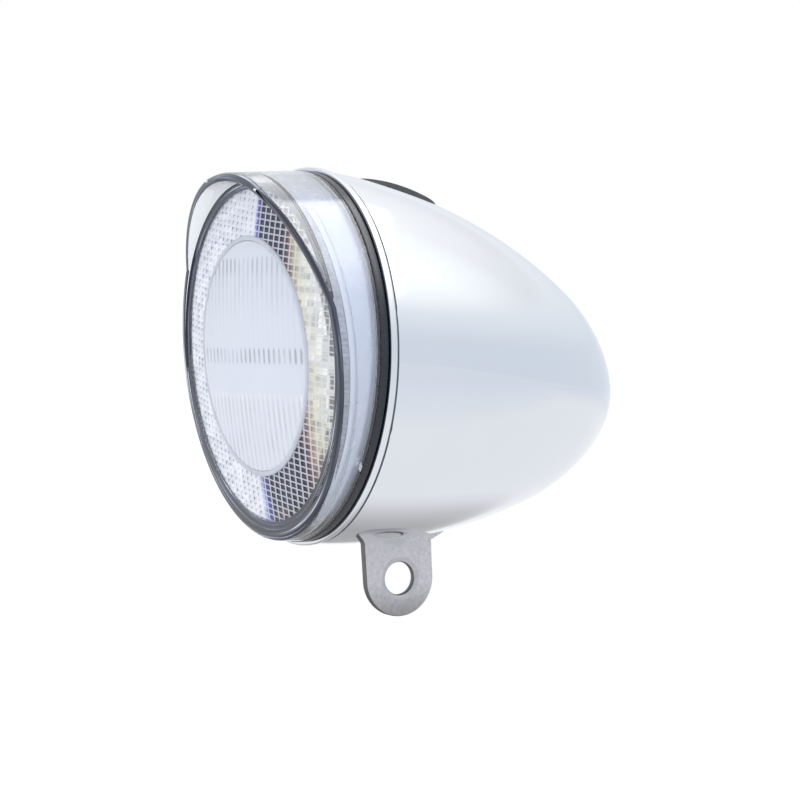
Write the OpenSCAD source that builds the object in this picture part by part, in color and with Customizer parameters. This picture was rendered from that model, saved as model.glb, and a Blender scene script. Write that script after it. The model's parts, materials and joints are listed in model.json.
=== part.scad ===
// Bullet-shaped bicycle headlight: a chromed shell on a lug for a cross bolt, a push button on top and
// a pull-out front unit with a hooded clear lens, a reflex ring, a lamp reflector and a battery holder.
// Millimetres, +Z up, front towards -Y. The origin is the centre of the bolt hole in the lug.

/* [Shell] */
// outside diameter of the shell at its mouth
shell_d = 72.4; // [71:0.2:76]
// wall thickness of the shell
shell_t = 1.2; // [1:0.1:1.6]
// radius of the shoulder arc
shoulder_arc_r = 46; // [43:0.5:50]
// how far the shell lies outside the battery holder at the holder's rear end
tail_room = 5.65; // [5.4:0.05:7]
// slope of the shell at the holder's rear end, in degrees
tail_slope = 40.9; // [39:0.1:43]
// distance from the holder's rear end back to the nose arc
nose_past = 6.7; // [6.4:0.1:8]
// drop of the shell's axis towards the tail, in degrees
shell_droop = 6.9; // [6:0.1:8]
// length of the rolled lip at the mouth
lip_l = 1.3; // [1:0.1:2]
// height of the lip above the shell
lip_h = 0.5; // [0.3:0.1:0.8]
// width of the groove behind the lip
groove_w = 0.4; // [0.3:0.1:0.6]
// depth of the groove behind the lip
groove_h = 0.3; // [0.2:0.1:0.5]

/* [Bracket] */
// diameter of the bolt hole
bolt_hole_d = 6.5; // [5.5:0.1:6.6]
// distance from the shell's mouth edge down to the bolt hole
lug_l = 7.7; // [7.4:0.1:12]
// distance from the shell's mouth back to the bolt hole
hole_back = 22.9; // [20:0.1:26]
// thickness of the lug
lug_t = 2; // [1.6:0.1:3]
// width of the lug
lug_w = 15.2; // [13:0.1:18]
// turn of the lug about its bolt hole, top towards the mouth, in degrees
lug_turn = 5; // [0:0.5:8]
// outside diameter of the coined edge round the hole
coin_d = 8.6; // [7.6:0.1:9.5]
// depth of the coined edge on each face
coin_h = 0.25; // [0.1:0.05:0.4]
// length of the foot along the shell
foot_l = 16.4; // [15:0.2:22]
// width of the foot from the lug's outer face
foot_w = 13; // [12:0.2:16]
// thickness of the foot
foot_t = 1.5; // [1.2:0.1:2]
// distance of the foot's middle behind the bolt hole
foot_behind = 4.2; // [3:0.1:5]
// width of the pressed dart at the bend
dart_w = 7.2; // [5:0.2:9]
// radius of the foot's corners
foot_corner = 4; // [1:0.1:5]
// depth of the pressed dart
dart_h = 0.4; // [0.3:0.1:0.8]
// distance of the dart in front of the bolt hole
dart_ahead = 1.4; // [0:0.1:3]
// height of the dart's middle above the crease with the shell
dart_rise = 1.7; // [1:0.1:2.4]
// distance of a rivet's middle from the foot's end
rivet_edge = 4.2; // [3.6:0.1:4.6]
// diameter of a rivet's shank
rivet_d = 3; // [2.4:0.1:3.4]
// diameter of a rivet's heads
rivet_head_d = 5.2; // [4.6:0.1:6]
// height of a rivet's heads
rivet_head_h = 1.1; // [0.8:0.1:1.5]
// thickness of the backing plate inside the shell
backing_t = 1; // [0.8:0.1:1.5]

/* [Button] */
// length of the button's cap
button_l = 17.6; // [14:0.2:18]
// width of the button's cap
button_w = 9; // [7:0.2:10]
// distance of the button's middle along the shell's axis
button_at = 16.8; // [16:0.2:20]
// height of the cap above the shell
button_h = 1.15; // [0.6:0.05:1.2]
// radius of the cap's domed top
button_dome_r = 40; // [26:1:50]
// how far the button goes in
button_travel = 0.8; // [0.5:0.05:1]
// gap round the cap in the shell's opening
button_gap = 0.3; // [0.3:0.05:0.5]
// width of the flange round the cap, under the shell
button_flange = 1; // [0.8:0.1:1.2]
// thickness of the flange
flange_t = 1.2; // [1:0.1:1.4]
// how far the flange's middle bows up under the shell
flange_bow = 0.6; // [0.5:0.1:0.8]
// diameter of the pin that presses the switch
pin_d = 3.2; // [2.4:0.1:3.6]
// wall of the guide round the flange
guide_wall = 1.4; // [1.2:0.1:2]
// thickness of the guide's floor
guide_floor = 1.2; // [1:0.1:1.6]
// length of the return spring pressed flat
spring_l = 1.2; // [1:0.1:1.4]
// how far the pin stands out of the guide's floor
pin_out = 0.8; // [0.6:0.1:1]
// gap between the pressed button and its flat spring
spring_free = 0.2; // [0.1:0.05:0.3]
// gap between the pin and its spring
spring_gap = 0.5; // [0.3:0.1:0.6]
// thickness of the return spring's ring
spring_t = 0.9; // [0.6:0.1:1.2]

/* [Front lens] */
// thickness of the gasket between lens and shell
gasket_t = 1.8; // [1.4:0.1:2.4]
// gap between the gasket and the shell's lip
seal_gap = 0.05; // [0.05:0.01:0.1]
// how far the gasket lies inside the shell's radius
gasket_inset = 0.2; // [0.1:0.05:0.4]
// how far the lens's rear edge lies inside the shell's radius
lens_inset = 0.3; // [0.2:0.05:0.6]
// wall of the lens at its rear edge
lens_wall = 2.35; // [2:0.05:2.6]
// draft of the lens's side wall, in degrees
lens_draft = 4.3; // [3:0.1:5]
// reach of the hood in front of the mouth
hood_reach = 17.4; // [16:0.2:20]
// slope of the hood's sides, in degrees
hood_slope = 18.8; // [17:0.2:21]
// hood's sides in front of the mouth, at the middle
hood_front = 6.3; // [5.8:0.1:7]
// thickness of the hood
hood_t = 1.7; // [1.4:0.1:2]
// rim of the lens in front of the mouth, at the middle
rim_front = 9.4; // [9.2:0.1:10]
// lean of the rim's lower half, in degrees
rim_lean = 5.9; // [5:0.1:6.5]
// turn of the lens and its face about the mouth's axis, in degrees
front_turn = 7.5; // [0:0.5:12]
// width of the notch for prying the front unit out
notch_w = 9; // [6:0.5:12]
// depth of the notch along the lens
notch_h = 0.9; // [0.6:0.1:1.2]
// wall left inside the notch
notch_wall = 0.95; // [0.6:0.05:1.2]

/* [Lens face] */
// face plane in front of the mouth, at the middle
face_front = 8.5; // [8.2:0.1:8.9]
// tilt of the face, top forwards, in degrees
face_tilt = 5; // [4:0.1:6]
// radius of the face's dome
face_dome_r = 200; // [160:5:260]
// width of the ledge inside the lens's wall
ledge_w = 1.55; // [1.4:0.05:2.4]
// thickness of the ledge that holds the face
ledge_t = 0.5; // [0.4:0.1:0.8]
// width of the ledge that overlaps the reflex ring
ledge_lap = 0.9; // [0.6:0.1:1]
// depth of the face pieces behind the face plane
face_depth = 2; // [1.6:0.1:2.6]
// width of the reflex ring round the divider
reflex_w = 8.8; // [7:0.1:11]
// width of the divider ring
divider_w = 1; // [0.8:0.1:1.6]
// height of the divider ring above the face
divider_h = 0.3; // [0.1:0.05:0.5]
// pitch of the flutes
flute_pitch = 2.05; // [1.6:0.05:2.4]
// flat land between two flutes
flute_land = 0.2; // [0.1:0.05:0.4]
// pitch of the prism rows
prism_pitch = 1.2; // [1:0.1:1.6]
// depth of the prism rows
prism_h = 0.8; // [0.5:0.1:1]

/* [Reflector and carrier] */
// wall of the carrier ring
carrier_t = 1.8; // [1.4:0.1:2]
// gap between the carrier and the pieces round it
carrier_gap = 0.15; // [0.1:0.05:0.2]
// reach of the carrier into the shell
carrier_in = 7; // [6.6:0.1:7.4]
// thickness of the reflector's flange
reflector_t = 1.2; // [1:0.1:1.4]
// depth of the reflector behind the face plane
reflector_depth = 11; // [10:0.2:11.4]
// how far the bowl's curve would run past the reflector's back
bowl_past = 0.5; // [0.3:0.1:0.6]
// plain rim round the flutes
flute_rim = 1; // [0.8:0.1:2]
// seat of the beam lens on the reflector
beam_seat = 0.2; // [0.1:0.05:0.4]
// diameter of the lamp opening in the reflector
lamp_hole_d = 11; // [9:0.2:12]
// width of a snap tab
snap_w = 7; // [5:0.2:9]
// length of a snap tab
snap_l = 2.6; // [2:0.1:3]
// how far a snap tab lies behind the mouth
snap_at = 1.6; // [1.4:0.1:1.8]
// height of a snap tab's hook above the carrier's inner face
snap_h = 0.8; // [0.5:0.1:1.2]

/* [Lamp] */
// diameter of the LED board
led_board_d = 19.2; // [17:0.2:20]
// thickness of the LED board
led_board_t = 1.4; // [1:0.1:1.6]
// width of the LED's base
led_w = 3.5; // [3:0.1:5]
// height of the LED's base
led_h = 0.8; // [0.6:0.1:1]
// diameter of the LED's dome
led_dome_d = 2.8; // [2:0.1:3]
// diameter of the heat sink
sink_d = 18; // [16:0.2:18.4]
// thickness of the heat sink's base
sink_t = 1; // [0.8:0.1:1.2]
// height of the heat sink's fins
fin_h = 2; // [1.4:0.1:2.1]
// thickness of a fin
fin_t = 1.2; // [0.8:0.1:1.4]
// distance between fins
fin_pitch = 2.8; // [2.4:0.1:3.2]

/* [Electronics] */
// thickness of the bulkhead
bulkhead_t = 2; // [1.6:0.1:2.4]
// gap round the heat sink in the bulkhead
sink_gap = 0.6; // [0.5:0.05:0.9]
// length of the control board
board_l = 20; // [18:0.5:24]
// width of the control board
board_w = 24; // [20:0.5:26]
// thickness of the control board
board_t = 1.6; // [1:0.1:1.6]
// width of a rail under the board
rail_w = 4; // [3:0.2:5]
// height of a rail
rail_h = 2; // [1.6:0.1:3]
// how far the board reaches past its rails
rail_short = 2; // [1:0.2:4]
// width of the switch
switch_w = 6.2; // [5:0.1:7]
// height of the switch
switch_h = 3.2; // [2.6:0.1:3.4]
// length of the switch's stem
stem_l = 0.75; // [0.5:0.05:1.2]
// diameter of the switch's stem
stem_d = 3; // [2:0.1:3.4]
// gap between the pressed button and the stem
stem_gap = 0.4; // [0.3:0.05:0.6]
// width of the driver chip
chip_w = 5; // [4:0.1:6]
// height of the driver chip
chip_h = 1.4; // [1:0.1:1.8]
// diameter of the capacitor
cap_d = 5; // [4:0.1:6]
// height of the capacitor
cap_h = 5; // [4:0.1:6]
// diameter of a screw's head
screw_head_d = 4.4; // [4:0.1:5]
// height of a screw's head
screw_head_h = 1.4; // [1.2:0.1:1.8]
// diameter of a screw's shank
screw_d = 2.4; // [2:0.1:2.8]
// length of a screw's shank
screw_l = 4.6; // [4:0.1:5.4]
// distance of the screws inside the carrier
screw_inset = 6.6; // [5.6:0.1:7.6]
// width of a cross slot in a screw's head
cross_w = 0.6; // [0.4:0.1:0.8]
// length of a cross slot
cross_l = 2.8; // [2.4:0.1:3.4]
// depth of a cross slot
cross_h = 0.7; // [0.5:0.1:0.9]
// wall of a screw's post round the shank
post_wall = 1.4; // [1.2:0.1:1.8]
// end of a screw's post past the shank
post_end = 1; // [0.8:0.1:1.4]
// distance of the driver chip's middle to the left
chip_x = 7; // [6:0.2:8]
// distance of the driver chip's front behind the bulkhead
chip_y = 3; // [2:0.2:4]
// distance of the capacitor's middle to the right
cap_x = 7; // [6:0.2:8]
// distance of the capacitor's middle behind the bulkhead
cap_y = 6; // [5:0.2:7]

/* [Battery holder] */
// diameter of a cell
cell_d = 10.5; // [10.2:0.1:10.6]
// length of a cell without its button
cell_l = 43.7; // [43:0.1:44]
// diameter of a cell's button
nub_d = 3.8; // [3:0.1:4]
// height of a cell's button
nub_h = 0.8; // [0.6:0.1:1]
// gap between two cells
cell_gap = 0.4; // [0.3:0.05:0.6]
// distance of the holder's axis below the middle
holder_drop = 4.5; // [4.2:0.1:5]
// thickness of the holder's end caps
cap_t = 2; // [1.6:0.1:2.2]
// cap's margin outside the cells
cap_margin = 0.3; // [0.2:0.05:0.4]
// how far the contact plates lie inside the caps
plate_inset = 1; // [0.8:0.1:1.4]
// thickness of the contact plates
plate_t = 0.4; // [0.3:0.05:0.6]
// length of a contact spring in place
contact_l = 2.6; // [2.2:0.1:2.8]
// diameter of a contact spring
contact_d = 6; // [5:0.1:7]
// thickness of a contact spring's ring
contact_t = 0.8; // [0.5:0.1:1]
// gap between the holder and its socket
socket_gap = 0.1; // [0.1:0.05:0.2]
// wall of the socket on the bulkhead
socket_wall = 1.6; // [1.2:0.1:2]
// length of the socket
socket_l = 7; // [5:0.2:9]
// step in the socket that the holder stands on
socket_step = 1.2; // [1.1:0.1:1.5]

/* [Hidden] */
$fn = 96;
eps = 0.02;
far = 100;

shell_r = shell_d / 2;
hole_drop = shell_r + lug_l;
mouth_at = [0, -hole_back, hole_drop];

cell_ring = (cell_d + cell_gap) / sqrt(3);
holder_r = cell_ring + cell_d / 2 + cap_margin;
holder_y = carrier_in + socket_step;
plate_y = holder_y + cap_t;
cell_y = plate_y + plate_t;
cell_back = cell_y + cell_l + nub_h;
contact_back = cell_back + contact_l;
rear_y = contact_back + plate_t;
holder_back = rear_y + cap_t;
plate_r = holder_r - plate_inset;
cell_turns = [90, 210, 330];

// the shoulder arc passes the holder's rear end with its room and slope
shoulder_c = [holder_r + tail_room - shoulder_arc_r * cos(tail_slope),
              holder_back - shoulder_arc_r * sin(tail_slope)];
// the side arc is level at the mouth and runs into the shoulder arc
side_gap = shoulder_c[0] - shell_r;
side_arc_r = (shoulder_arc_r * shoulder_arc_r - side_gap * side_gap - shoulder_c[1] * shoulder_c[1])
    / (2 * (side_gap + shoulder_arc_r));

// the side arc's centre lies this far from the shell's axis
side_c = shell_r - side_arc_r;
side_turn = asin(shoulder_c[1] / (side_arc_r - shoulder_arc_r));
shoulder_at = side_arc_r * sin(side_turn);
nose_at = holder_back + nose_past;
nose_turn = asin((nose_at - shoulder_c[1]) / shoulder_arc_r);
nose_x = shoulder_c[0] + shoulder_arc_r * cos(nose_turn);
nose_arc_r = nose_x / cos(nose_turn);
nose_c = nose_at - nose_arc_r * sin(nose_turn);
shell_lead = 8;

lug_r = lug_w / 2;
foot_mid = hole_back + foot_behind;
foot_x = lug_t / 2 - foot_w / 2;
rivet_x = foot_x - lug_t / 2;
rivet_pitch = foot_l - 2 * rivet_edge;
dart_r = (dart_w * dart_w / 4 + dart_h * dart_h) / (2 * dart_h);

button_turn = asin(button_at / side_arc_r);
button_r = side_c + side_arc_r * cos(button_turn);
flange_drop = shell_t + button_gap;
flange_low = flange_drop + flange_t + flange_bow;
guide_top = flange_low + button_travel + spring_l + spring_free;
pin_low = guide_top + guide_floor + pin_out;
flange_mid = flange_low - flange_t / 2;
spring_r = pin_d / 2 + spring_gap;

gasket_r = shell_r - gasket_inset;
lens_r = shell_r - lens_inset;
lens_back = gasket_t + seal_gap;
lens_bore = lens_r - lens_wall;
carrier_r = lens_bore - carrier_gap;
carrier_bore = carrier_r - carrier_t;
hood_fall = tan(lens_draft) * (hood_reach + 2 - lens_back);

face_r = lens_bore - ledge_w;
ring_r = face_r + ledge_lap;
divider_r = face_r - reflex_w;
beam_r = divider_r - divider_w;
dome_c = sqrt(face_dome_r * face_dome_r - face_r * face_r);
flute_n = floor(beam_r / flute_pitch);
flute_r = (flute_pitch - flute_land) / 2;
prism_first = divider_r + prism_pitch;
prism_n = floor((face_r - prism_first) / prism_pitch);

flange_back = face_depth + reflector_t;
bowl_r0 = beam_r - beam_seat;
bowl_tip = reflector_depth + bowl_past;
bowl_c = (bowl_r0 * bowl_r0 + face_depth * face_depth - bowl_tip * bowl_tip)
    / (2 * (face_depth - bowl_tip));
bowl_r = bowl_tip - bowl_c;
snap_turns = [55, 125, 235, 305];

led_back = reflector_depth + led_board_t;
sink_back = led_back + sink_t;
sink_lift = (led_back + sink_t) * sin(face_tilt);

bulkhead_y = carrier_in - bulkhead_t;
screw_ring = carrier_bore - screw_inset;
screw_turns = [30, 150, 270];
pin_tip_y = button_at * cos(shell_droop) + button_r * sin(shell_droop)
    - (pin_low + button_travel) * sin(button_turn + shell_droop);
pin_tip_z = button_r * cos(shell_droop) - button_at * sin(shell_droop)
    - (pin_low + button_travel) * cos(button_turn + shell_droop);
stem_top = pin_tip_z - pin_d / 2 * sin(button_turn + shell_droop) - stem_gap;
switch_top = stem_top - stem_l;
board_top = switch_top - switch_h;
board_z = board_top - board_t;

// centre of the shell's mouth
module at_mouth() {
    translate(mouth_at) children();
}

// centre of the mouth, turned with the lens
module at_front() {
    at_mouth() rotate([0, front_turn, 0]) children();
}

// middle of the lens face, turned with its tilt
module at_face() {
    at_front() translate([0, -face_front, 0]) rotate([face_tilt, 0, 0]) children();
}

// start of the shell's own axis, turned with its droop
module at_shell() {
    at_mouth() rotate([-shell_droop, 0, 0]) children();
}

// middle of the button on the shell's outer face, +Z outwards
module at_button() {
    at_shell() translate([0, button_at, button_r]) rotate([-button_turn, 0, 0]) children();
}

// axis of the battery holder
module at_holder() {
    at_mouth() translate([0, 0, -holder_drop]) children();
}

// turns a profile about Y: x is the radius, y runs back
module turned() {
    rotate([-90, 0, 0]) rotate_extrude() children();
}

// round bar along Y from y0 to y1
module rod(r, y0, y1) {
    translate([0, y0, 0]) rotate([-90, 0, 0]) cylinder(r = r, h = y1 - y0);
}

// ring along Y
module pipe(r1, r2, y0, y1) {
    difference() {
        rod(r2, y0, y1);
        rod(r1, y0 - 1, y1 + 1);
    }
}

// outline with round ends
module slot(l, w) {
    square([w, l - w], center = true);
    translate([0, (l - w) / 2]) circle(d = w);
    translate([0, (w - l) / 2]) circle(d = w);
}

// half outline of the shell, grown by d
module bullet_half(d) {
    s1 = shoulder_at + d * sin(side_turn);
    s2 = nose_at + d * sin(nose_turn);
    intersection() {
        translate([side_c, 0]) circle(r = side_arc_r + d, $fn = 360);
        translate([0, -shell_lead]) square([far, shell_lead + s1]);
    }
    intersection() {
        translate(shoulder_c) circle(r = shoulder_arc_r + d, $fn = 240);
        translate([0, s1]) square([far, s2 - s1]);
    }
    intersection() {
        translate([0, nose_c]) circle(r = nose_arc_r + d, $fn = 120);
        translate([0, s2]) square(far);
    }
}

// solid with the shell's outline, grown by d
module bullet(d) {
    at_shell() turned() bullet_half(d);
}

// footprint of the lug's foot as a column
module foot_column() {
    at_mouth() translate([foot_x, foot_mid, -far / 2]) linear_extrude(far / 4)
        union() {
            square([foot_w - 2 * foot_corner, foot_l], center = true);
            square([foot_w, foot_l - 2 * foot_corner], center = true);
            for (x = [-1, 1], y = [-1, 1])
                translate([x * (foot_w / 2 - foot_corner), y * (foot_l / 2 - foot_corner)])
                    circle(r = foot_corner);
        }
}

module shell() {
    color("silver") difference() {
        union() {
            difference() {
                bullet(0);
                bullet(-shell_t);
                at_mouth() translate([-far, -2 * far, -far]) cube(2 * far);
            }
            at_mouth() pipe(shell_r - shell_t / 2, shell_r + lip_h, 0, lip_l);
        }
        at_mouth() pipe(shell_r - groove_h, shell_r + 2, lip_l, lip_l + groove_w);
        at_button() translate([0, 0, -shell_t * 4])
            linear_extrude(shell_t * 8) slot(button_l + 2 * button_gap, button_w + 2 * button_gap);
        for (k = [-1, 1])
            rivet_axis(k) cylinder(d = rivet_d, h = far, center = true);
    }
}

// axis of a rivet through foot, shell and backing plate
module rivet_axis(k) {
    at_mouth() translate([rivet_x, foot_mid + k * rivet_pitch / 2, -shell_r]) children();
}

module lug_bracket() {
    color("lightsteelblue") difference() {
        union() {
            intersection() {
                bullet(foot_t);
                foot_column();
            }
            rotate([0, 90, 0]) cylinder(r = lug_r, h = lug_t, center = true);
            rotate([lug_turn, 0, 0]) translate([-lug_t / 2, -lug_r, 0])
                cube([lug_t, lug_w, hole_drop - shell_r + 4]);
        }
        bullet(0);
        rotate([0, 90, 0]) cylinder(d = bolt_hole_d, h = far, center = true);
        for (k = [0, 180])
            rotate([0, 90 + k, 0]) translate([0, 0, lug_t / 2 - coin_h])
                cylinder(d1 = bolt_hole_d, d2 = coin_d, h = coin_h);
        translate([lug_t / 2 + dart_r - dart_h, -dart_ahead, hole_drop - shell_r + dart_rise])
            sphere(r = dart_r);
        for (k = [-1, 1])
            rivet_axis(k) cylinder(d = rivet_d, h = far, center = true);
    }
}

module backing_plate() {
    color("gray") difference() {
        intersection() {
            difference() {
                bullet(-shell_t);
                bullet(-shell_t - backing_t);
            }
            foot_column();
        }
        for (k = [-1, 1])
            rivet_axis(k) cylinder(d = rivet_d, h = far, center = true);
    }
}

module rivet(k) {
    difference() {
        intersection() {
            rivet_axis(k) cylinder(d = rivet_head_d, h = shell_r, center = true);
            bullet(foot_t + rivet_head_h);
        }
        difference() {
            bullet(foot_t);
            bullet(-shell_t - backing_t);
            rivet_axis(k) cylinder(d = rivet_d, h = far, center = true);
        }
        bullet(-shell_t - backing_t - rivet_head_h);
    }
}

module rivet_front() {
    color("silver") rivet(-1);
}

module rivet_rear() {
    color("silver") rivet(1);
}

module button() {
    flange_out = 2 * button_flange;
    color("dimgray") union() {
        at_button() intersection() {
            translate([0, 0, -flange_mid]) linear_extrude(flange_low + button_h) slot(button_l, button_w);
            translate([0, 0, button_h - button_dome_r]) sphere(r = button_dome_r);
        }
        intersection() {
            bullet(-flange_drop);
            at_button() translate([0, 0, -flange_low])
                linear_extrude(flange_low) slot(button_l + flange_out, button_w + flange_out);
        }
        at_button() translate([0, 0, -pin_low]) cylinder(d = pin_d, h = pin_low - flange_mid);
    }
}

module button_guide() {
    inner = button_flange + button_gap;
    outer = inner + guide_wall;
    color("slategray") difference() {
        intersection() {
            bullet(-shell_t);
            at_button() translate([0, 0, -guide_top - guide_floor])
                linear_extrude(far / 4) slot(button_l + 2 * outer, button_w + 2 * outer);
        }
        at_button() translate([0, 0, -guide_top])
            linear_extrude(far / 4) slot(button_l + 2 * inner, button_w + 2 * inner);
        at_button() cylinder(r = pin_d / 2 + button_gap, h = far / 4, center = true);
    }
}

module return_spring() {
    color("silver") at_button() translate([0, 0, -guide_top]) difference() {
        cylinder(r = spring_r + spring_t, h = spring_l);
        translate([0, 0, -1]) cylinder(r = spring_r, h = spring_l + 2);
    }
}

// outside of the lens's wall and hood, thinned by d
module lens_cone(d) {
    at_mouth() translate([0, -hood_reach - 2, 0]) rotate([-90, 0, 0])
        cylinder(r1 = lens_r - hood_fall - d, r2 = lens_r - d, h = hood_reach + 2 - lens_back);
}

// space in front of the lens's rim and hood
module lens_front_cut() {
    meet_z = (rim_front - hood_front) / (tan(hood_slope) - tan(rim_lean));
    top_z = (hood_reach - hood_front) / tan(hood_slope);
    at_front() rotate([90, 0, 90]) translate([0, 0, -far / 2]) linear_extrude(far)
        polygon([[-hood_reach, far / 2], [-hood_reach, top_z],
                 [-rim_front - meet_z * tan(rim_lean), meet_z],
                 [-rim_front + far / 2 * tan(rim_lean), -far / 2],
                 [-far, -far / 2], [-far, far / 2]]);
}

module lens() {
    color("azure") difference() {
        lens_cone(0);
        intersection() {
            at_mouth() rod(lens_bore, -far / 4, 1);
            at_face() translate([-far / 2, 0, -far / 2]) cube(far);
        }
        at_face() rod(face_r, -ledge_t - 1, 1);
        intersection() {
            lens_cone(hood_t);
            at_face() translate([-far / 2, -far - ledge_t, -far / 2]) cube(far);
        }
        lens_front_cut();
        at_mouth() translate([-notch_w / 2, -lens_back - notch_h, -lens_bore - notch_wall - far])
            cube([notch_w, far, far]);
    }
}

// space under the face's dome, grown by d
module face_dome(d) {
    translate([0, dome_c, 0]) sphere(r = face_dome_r + d, $fn = 360);
}

module reflex_ring() {
    color("whitesmoke") at_face() difference() {
        intersection() {
            pipe(divider_r, ring_r, -face_depth * 2, face_depth);
            face_dome(0);
        }
        turned() for (i = [0 : prism_n - 1])
            translate([prism_first + i * prism_pitch, face_depth])
                polygon([[-prism_pitch * 0.4, eps], [0, -prism_h], [prism_pitch * 0.4, eps]]);
    }
}

module divider_ring() {
    color("lightgray") at_face() intersection() {
        pipe(beam_r, divider_r, -face_depth * 2, face_depth);
        face_dome(divider_h);
    }
}

module beam_lens() {
    color("aliceblue") at_face() difference() {
        intersection() {
            rod(beam_r, -face_depth * 2, face_depth);
            face_dome(0);
        }
        intersection() {
            rod(beam_r - flute_rim, 0, face_depth + flute_r);
            for (i = [-flute_n : flute_n])
                translate([i * flute_pitch, face_depth, -beam_r])
                    cylinder(r = flute_r, h = 2 * beam_r, $fn = 32);
        }
    }
}

module reflector() {
    color("gainsboro") at_face() difference() {
        union() {
            rod(ring_r, face_depth, flange_back);
            intersection() {
                translate([0, bowl_c, 0]) sphere(r = bowl_r + reflector_t);
                rod(divider_r, face_depth + eps, reflector_depth);
            }
        }
        translate([0, bowl_c, 0]) sphere(r = bowl_r);
        rod(lamp_hole_d / 2, face_depth, far / 4);
    }
}

// places a snap tab at one of its turns
module at_snap(i) {
    at_mouth() rotate([0, -snap_turns[i], 0]) translate([carrier_bore, snap_at, 0]) children();
}

module carrier() {
    color("silver") difference() {
        at_mouth() pipe(carrier_bore, carrier_r, -far / 4, carrier_in);
        at_face() translate([-far / 2, flange_back - far, -far / 2]) cube(far);
        for (i = [0 : 3])
            at_snap(i) translate([-1, 0, -snap_w / 2]) cube([carrier_t + 3, snap_l, snap_w]);
    }
}

module snap_tab(i) {
    intersection() {
        at_snap(i) translate([-snap_h, 0, -snap_w / 2]) cube([carrier_t + snap_h + 2, snap_l, snap_w]);
        at_mouth() rod(carrier_r, -far / 4, far / 4);
    }
}

module snap_upper_right() {
    color("white") snap_tab(0);
}

module snap_upper_left() {
    color("white") snap_tab(1);
}

module snap_lower_left() {
    color("white") snap_tab(2);
}

module snap_lower_right() {
    color("white") snap_tab(3);
}

module gasket() {
    color("black") at_mouth() pipe(carrier_r + carrier_gap, gasket_r, -lens_back, -seal_gap);
}

module led() {
    color("khaki") at_face() union() {
        translate([-led_w / 2, reflector_depth - led_h, -led_w / 2]) cube([led_w, led_h, led_w]);
        intersection() {
            translate([0, reflector_depth - led_h, 0]) sphere(d = led_dome_d);
            rod(led_w, reflector_depth - led_h - led_dome_d, reflector_depth - led_h / 2);
        }
    }
}

module led_board() {
    color("white") at_face() rod(led_board_d / 2, reflector_depth, led_back);
}

module heat_sink() {
    color("lightgray") at_face() union() {
        rod(sink_d / 2, led_back, sink_back);
        intersection() {
            rod(sink_d / 2, led_back, sink_back + fin_h);
            for (i = [-2 : 2])
                translate([i * fin_pitch - fin_t / 2, led_back + sink_t / 2, -far / 2])
                    cube([fin_t, far, far]);
        }
    }
}

// place of a bulkhead screw
module at_screw(i) {
    at_mouth() rotate([0, -screw_turns[i], 0]) translate([screw_ring, carrier_in, 0]) children();
}

module bulkhead() {
    color("darkgray") difference() {
        union() {
            at_mouth() rod(carrier_bore, bulkhead_y, carrier_in);
            at_holder() rod(holder_r + socket_gap + socket_wall, carrier_in - eps, carrier_in + socket_l);
            for (k = [-1, 1])
                at_mouth() translate([k * (board_w - rail_w) / 2, carrier_in - eps, board_z - rail_h])
                    translate([-rail_w / 2, 0, 0]) cube([rail_w, board_l - rail_short, rail_h]);
            for (i = [0 : 2])
                at_screw(i) rod(screw_d / 2 + post_wall, -screw_l - post_end, 0);
        }
        at_mouth() translate([sink_lift * sin(front_turn), 0, sink_lift * cos(front_turn)])
            rod(sink_d / 2 + sink_gap, 0, holder_y);
        at_holder() rod(holder_r + socket_gap, holder_y, far);
        at_holder() rod(plate_r, carrier_in + eps, far);
        for (i = [0 : 2])
            at_screw(i) rod(screw_d / 2, -screw_l, 1);
    }
}

module bulkhead_screw(i) {
    at_screw(i) difference() {
        union() {
            rod(screw_d / 2, -screw_l, eps);
            rod(screw_head_d / 2, 0, screw_head_h);
        }
        for (k = [0, 90])
            rotate([0, k, 0]) translate([-cross_w / 2, screw_head_h - cross_h, -cross_l / 2])
                cube([cross_w, screw_head_h, cross_l]);
    }
}

module screw_right() {
    color("silver") bulkhead_screw(0);
}

module screw_left() {
    color("silver") bulkhead_screw(1);
}

module screw_low() {
    color("silver") bulkhead_screw(2);
}

module control_board() {
    color("seagreen") at_mouth() translate([-board_w / 2, carrier_in, board_z])
        cube([board_w, board_l, board_t]);
}

module switch_body() {
    color("dimgray") at_mouth() translate([-switch_w / 2, pin_tip_y - switch_w / 2, board_top])
        cube([switch_w, switch_w, switch_h]);
}

module switch_stem() {
    color("black") at_mouth() translate([0, pin_tip_y, switch_top]) cylinder(d = stem_d, h = stem_l);
}

module driver_chip() {
    color("black") at_mouth() translate([-chip_x - chip_w / 2, carrier_in + chip_y, board_top])
        cube([chip_w, chip_w, chip_h]);
}

module capacitor() {
    color("darkslategray") at_mouth() translate([cap_x, carrier_in + cap_y, board_top])
        cylinder(d = cap_d, h = cap_h);
}

// place of a cell's axis in the holder
module at_cell(i) {
    at_holder() rotate([0, -cell_turns[i], 0]) translate([cell_ring, 0, 0]) children();
}

module holder_front() {
    color("black") at_holder() rod(holder_r, holder_y, plate_y);
}

module holder_rear() {
    color("black") at_holder() rod(holder_r, rear_y, holder_back);
}

module holder_spine() {
    color("black") difference() {
        at_holder() rod(cell_ring, cell_y, contact_back);
        for (i = [0 : 2])
            at_cell(i) rod(cell_d / 2 + cell_gap / 4, 0, far);
    }
}

module cell(i) {
    at_cell(i) union() {
        rod(cell_d / 2, cell_y + nub_h, cell_back);
        rod(nub_d / 2, cell_y, cell_y + nub_h + eps);
    }
}

module cell_top() {
    color("firebrick") cell(0);
}

module cell_left() {
    color("firebrick") cell(1);
}

module cell_right() {
    color("firebrick") cell(2);
}

module plate_front() {
    color("gold") at_holder() rod(plate_r, plate_y, cell_y);
}

module plate_rear() {
    color("gold") at_holder() rod(plate_r, contact_back, rear_y);
}

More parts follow.
